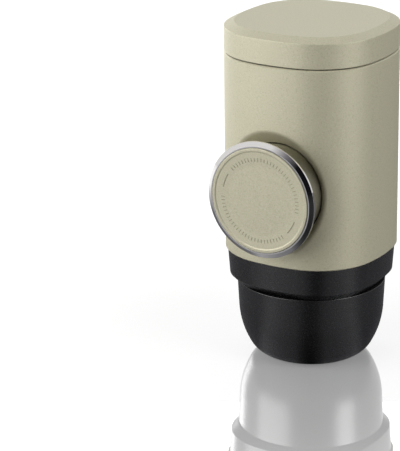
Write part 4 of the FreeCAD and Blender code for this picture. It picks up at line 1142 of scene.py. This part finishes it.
@dataclass
class Lid:
    """The lid: a bevelled shell with four posts, and a plug with a thread below its seal."""

    body: str = "lid"
    bottom: float = 116.7
    shoulder: float = 125.8
    top: float = 127.5
    bevel: float = 3.7
    wall: float = 2.2
    roof: float = 2.5
    edge: float = 0.35
    post_radius: float = 2.8
    post_offset: float = 10.0
    post_sunk: float = 1.5
    plug_radius: float = 21.42
    plug_inside: float = 17.82
    plug_low: float = 109.0
    plug_under: float = 116.8
    plug_top: float = 118.8
    plate_radius: float = 24.5
    groove_low: float = 111.9
    groove_high: float = 114.1
    groove_radius: float = 19.68
    thread_root: float = 20.75
    thread_low: float = 109.35
    thread_high: float = 111.5

    def build(self) -> None:
        """Build the shell, its posts, the plug and its thread."""
        settle(self.shell(), self.body, "sand_plastic", "lid_cap")
        for x in (-self.post_offset, self.post_offset):
            for y in (-self.post_offset, self.post_offset):
                post = carried(f"lid_post_{'r' if x > 0 else 'l'}{'b' if y > 0 else 'f'}",
                               circle_section((x, y), 48), self.post_corners(), solid=True)
                settle(post, self.body, "sand_plastic")
        settle(self.plug(), self.body, "black_plastic", "lid_plug")
        thread = Thread("plug_thread", self.thread_root, self.plug_radius, self.thread_low,
                        self.thread_high, inset=0.55, turns=0.47, foot=0.9, land=0.45)
        for ridge in thread.ridges():
            settle(ridge, self.body, "black_plastic")

    def shell(self) -> Object:
        """Carry the shell's outline round the body's section.

        Returns:
            The shell.
        """
        roof = self.top - self.roof
        return carried("lid_shell", Squircle().section(), [
            Corner(-self.wall - 3.0, roof),
            Corner(-self.wall, roof, 0.8),
            Corner(-self.wall, self.bottom, 0.15),
            Corner(0.0, self.bottom, self.edge),
            Corner(0.0, self.shoulder, self.edge),
            Corner(-self.bevel, self.top, self.edge),
            Corner(-self.bevel - 3.0, self.top)], solid=True)

    def post_corners(self) -> list[Corner]:
        """The outline of a post, from its foot on the plug up into the roof.

        Returns:
            Its corners.
        """
        foot, head = self.plug_top + 0.02, self.top - self.post_sunk
        return [Corner(0.5, foot), Corner(self.post_radius, foot, 0.2),
                Corner(self.post_radius, head), Corner(0.5, head)]

    def plug(self) -> Object:
        """Turn the plug, slimmer where its thread runs.

        Returns:
            The plug.
        """
        return carried("plug_turned", circle_section(), [
            Corner(1.0, self.plug_under),
            Corner(self.plug_inside, self.plug_under, 0.6),
            Corner(self.plug_inside, self.plug_low, 0.3),
            Corner(self.thread_root, self.plug_low, 0.3),
            Corner(self.thread_root, self.thread_high),
            Corner(self.plug_radius, self.thread_high),
            Corner(self.plug_radius, self.groove_low),
            Corner(self.groove_radius, self.groove_low),
            Corner(self.groove_radius, self.groove_high),
            Corner(self.plug_radius, self.groove_high),
            Corner(self.plug_radius, self.plug_under, 0.2),
            Corner(self.plate_radius, self.plug_under, 0.2),
            Corner(self.plate_radius, self.plug_top, 0.3),
            Corner(1.0, self.plug_top)], solid=True)


@dataclass
class OutletHead:
    """The outlet head: a round bowl with a flat hollow foot and a neck with a thread."""

    body: str = "outlet_head"
    foot_hollow: float = 11.0
    hollow_height: float = 2.6
    foot_radius: float = 20.53
    foot_round: float = 9.0
    side_radius: float = 26.6
    side_height: float = 11.515
    side_round: float = 30.65
    shoulder_radius: float = 27.5
    bowl_height: float = 29.3
    neck_radius: float = 24.82
    neck_top: float = 37.0
    thread_root: float = 24.1
    thread_low: float = 29.7
    thread_high: float = 34.0
    groove_low: float = 34.3
    groove_high: float = 36.5
    groove_radius: float = 23.08
    bore: float = 21.8
    ledge_height: float = 12.0
    plate_radius: float = 19.2
    plate_height: float = 9.5
    funnel_radius: float = 17.5
    funnel_end: float = 5.6
    funnel_height: float = 6.4
    nozzle_radius: float = 4.05

    def build(self) -> None:
        """Build the bowl and its thread."""
        settle(self.bowl(), self.body, "black_plastic", "outlet_bowl")
        thread = Thread("neck_thread", self.thread_root, self.neck_radius, self.thread_low,
                        self.thread_high, inset=0.7, turns=0.9, foot=1.3, land=0.6, start=0.1)
        for ridge in thread.ridges():
            settle(ridge, self.body, "black_plastic")

    def bowl(self) -> Object:
        """Turn the bowl: flat foot, round bottom, a side that leans out, a shoulder and a neck.

        Returns:
            The bowl.
        """
        return carried("bowl_turned", circle_section(count=192), [
            Corner(self.foot_hollow, 0.0, 0.25),
            Corner(self.foot_radius, 0.0, self.foot_round),
            Corner(self.side_radius, self.side_height, self.side_round),
            Corner(self.shoulder_radius, self.bowl_height, 0.15),
            Corner(self.thread_root, self.bowl_height, 0.15),
            Corner(self.thread_root, self.thread_high),
            Corner(self.neck_radius, self.thread_high),
            Corner(self.neck_radius, self.groove_low),
            Corner(self.groove_radius, self.groove_low),
            Corner(self.groove_radius, self.groove_high),
            Corner(self.neck_radius, self.groove_high),
            Corner(self.neck_radius, self.neck_top, 0.2),
            Corner(self.bore, self.neck_top, 0.3),
            Corner(self.bore, self.ledge_height, 0.2),
            Corner(self.plate_radius, self.ledge_height, 0.2),
            Corner(self.plate_radius, self.plate_height),
            Corner(self.funnel_radius, self.plate_height, 0.2),
            Corner(self.funnel_end, self.funnel_height, 0.2),
            Corner(self.nozzle_radius, self.funnel_height),
            Corner(self.nozzle_radius, self.hollow_height),
            Corner(self.foot_hollow, self.hollow_height, 0.6)])


@dataclass
class Screws:
    """Sets of four tapping screws with a six-lobed recess.

    A screw's own height runs from its tip at zero up to the top of its head.
    """

    pump_circle: float = 14.3
    head_radius: float = 2.2
    head_height: float = 1.4
    core_radius: float = 0.85
    shank_radius: float = 1.15
    pitch: float = 0.8
    flank: float = 0.28
    plain: float = 0.2
    tip_lead: float = 0.15
    tip_length: float = 1.4
    step: float = 0.1
    recess_radius: float = 1.05
    lobe: float = 0.16
    recess_depth: float = 0.9
    recess_taper: float = 0.96
    recess_middle: float = 0.4
    columns: int = 48

    def build(self) -> None:
        """Make the three sets."""
        pump = self.four("pump_screw_set", Facing.FRONT, length=7.0, low=5.0,
                         offset=self.pump_circle * math.sqrt(0.5))
        settle(pump, "body", "steel", "pump_screws")
        collar = self.four("collar_screw_set", Facing.UP, length=10.4, low=40.6, offset=14.5,
                           head_down=True)
        settle(collar, "body", "steel", "collar_screws")
        lid = self.four("lid_screw_set", Facing.UP, length=8.4, low=115.4, offset=10.0,
                        head_down=True)
        settle(lid, "lid", "steel", "lid_screws")

    def rows(self, length: float) -> Array:
        """Work out a screw's surface from its tip, over its head, down into the recess.

        The thread's ridge follows the height less the angle's share of the pitch: its radius
        falls from the shank's to the core's as that phase leaves a whole number of pitches. The
        recess's radius waves six times round.

        Args:
            length: from tip to the head's top.

        Returns:
            Points by row and column.
        """
        angle = np.arange(self.columns) * FULL_TURN / self.columns
        under = length - self.head_height
        height = np.arange(0.0, under - self.plain, self.step)
        phase = height[:, None] / self.pitch - angle / FULL_TURN
        ridge = np.clip(1.0 - np.abs((phase + 0.5) % 1.0 - 0.5) / self.flank, 0.0, 1.0)
        tip = np.minimum((height[:, None] + self.tip_lead) / self.tip_length, 1.0)
        radius = (self.core_radius + (self.shank_radius - self.core_radius) * ridge) * tip
        head = rounded_outline([
            Corner(self.core_radius, under - 0.1, 0.05), Corner(self.core_radius, under, 0.05),
            Corner(self.head_radius, under, 0.08), Corner(self.head_radius, length, 0.45),
            Corner(self.recess_radius + 0.1, length, 0.05)], closed=False)[0]
        bottom = length - self.recess_depth
        recess = np.array([(self.recess_radius, length), (self.recess_radius, length - 0.1),
                           (self.recess_radius * self.recess_taper, bottom),
                           (self.recess_middle, bottom)])
        lobed = recess[:3, 0:1] + self.lobe * np.cos(6.0 * angle)
        reach = np.vstack((radius, np.repeat(head[:, 0:1], self.columns, axis=1), lobed,
                           np.full((1, self.columns), recess[3, 0])))
        tall = np.concatenate((height, head[:, 1], recess[:, 1]))[:, None]
        return np.dstack((reach * np.cos(angle), reach * np.sin(angle),
                          np.broadcast_to(tall, reach.shape)))

    def four(self, name: str, facing: Facing, length: float, low: float, offset: float,
             head_down: bool = False) -> Object:
        """Place four screws at a square's corners.

        Each vertex's normal is square to the way round the screw and the way along it, each
        taken from its neighbours on both sides.

        Args:
            name: the set's name.
            facing: which way the screws' height runs.
            length: of each screw over all.
            low: the height of its lower end.
            offset: of each screw from both middle lines.
            head_down: whether the head is at that lower end.

        Returns:
            The four screws as one piece.
        """
        rows = self.rows(length)
        if head_down:
            rows = rows * (1.0, -1.0, -1.0) + (0.0, 0.0, length)
        around = np.roll(rows, -1, axis=1) - np.roll(rows, 1, axis=1)
        normals = np.cross(around, np.gradient(rows, axis=0)).reshape(-1, 3)
        count, columns = rows.shape[:2]
        points = np.vstack((rows.reshape(-1, 3), rows[0].mean(axis=0), rows[-1].mean(axis=0)))
        normals = np.vstack((normals, normals[:columns].mean(axis=0),
                             normals[-columns:].mean(axis=0)))
        normals /= np.maximum(np.linalg.norm(normals, axis=1), 1e-9)[:, None]
        corners = np.array([(x, y, low) for x in (-offset, offset) for y in (-offset, offset)])
        one = quads(count, columns, False) + caps(count, columns)
        faces = [[corner + k * len(points) for corner in face]
                 for k in range(len(corners)) for face in one]
        placed = (points + corners[:, None, :]).reshape(-1, 3)
        return new_piece(name, facing, placed, faces, np.tile(normals, (len(corners), 1)))


# ---- the whole maker

def dress_frame() -> None:
    """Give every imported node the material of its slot."""
    for name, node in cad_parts.items():
        for place in node.material_slots:
            place.material = material_of(Finish[place.material.name.upper()])
        LOG.info("node %s dressed", name)


def main() -> None:
    """Build the studio and the maker."""
    logging.basicConfig(level=logging.INFO, format="%(name)s: %(message)s")
    dress_frame()
    knob = Knob().build()
    for part in (Springs(), Lid(), OutletHead(), Screws()):
        part.build()
    Studio().build(knob)


if __name__ == "__main__":
    main()
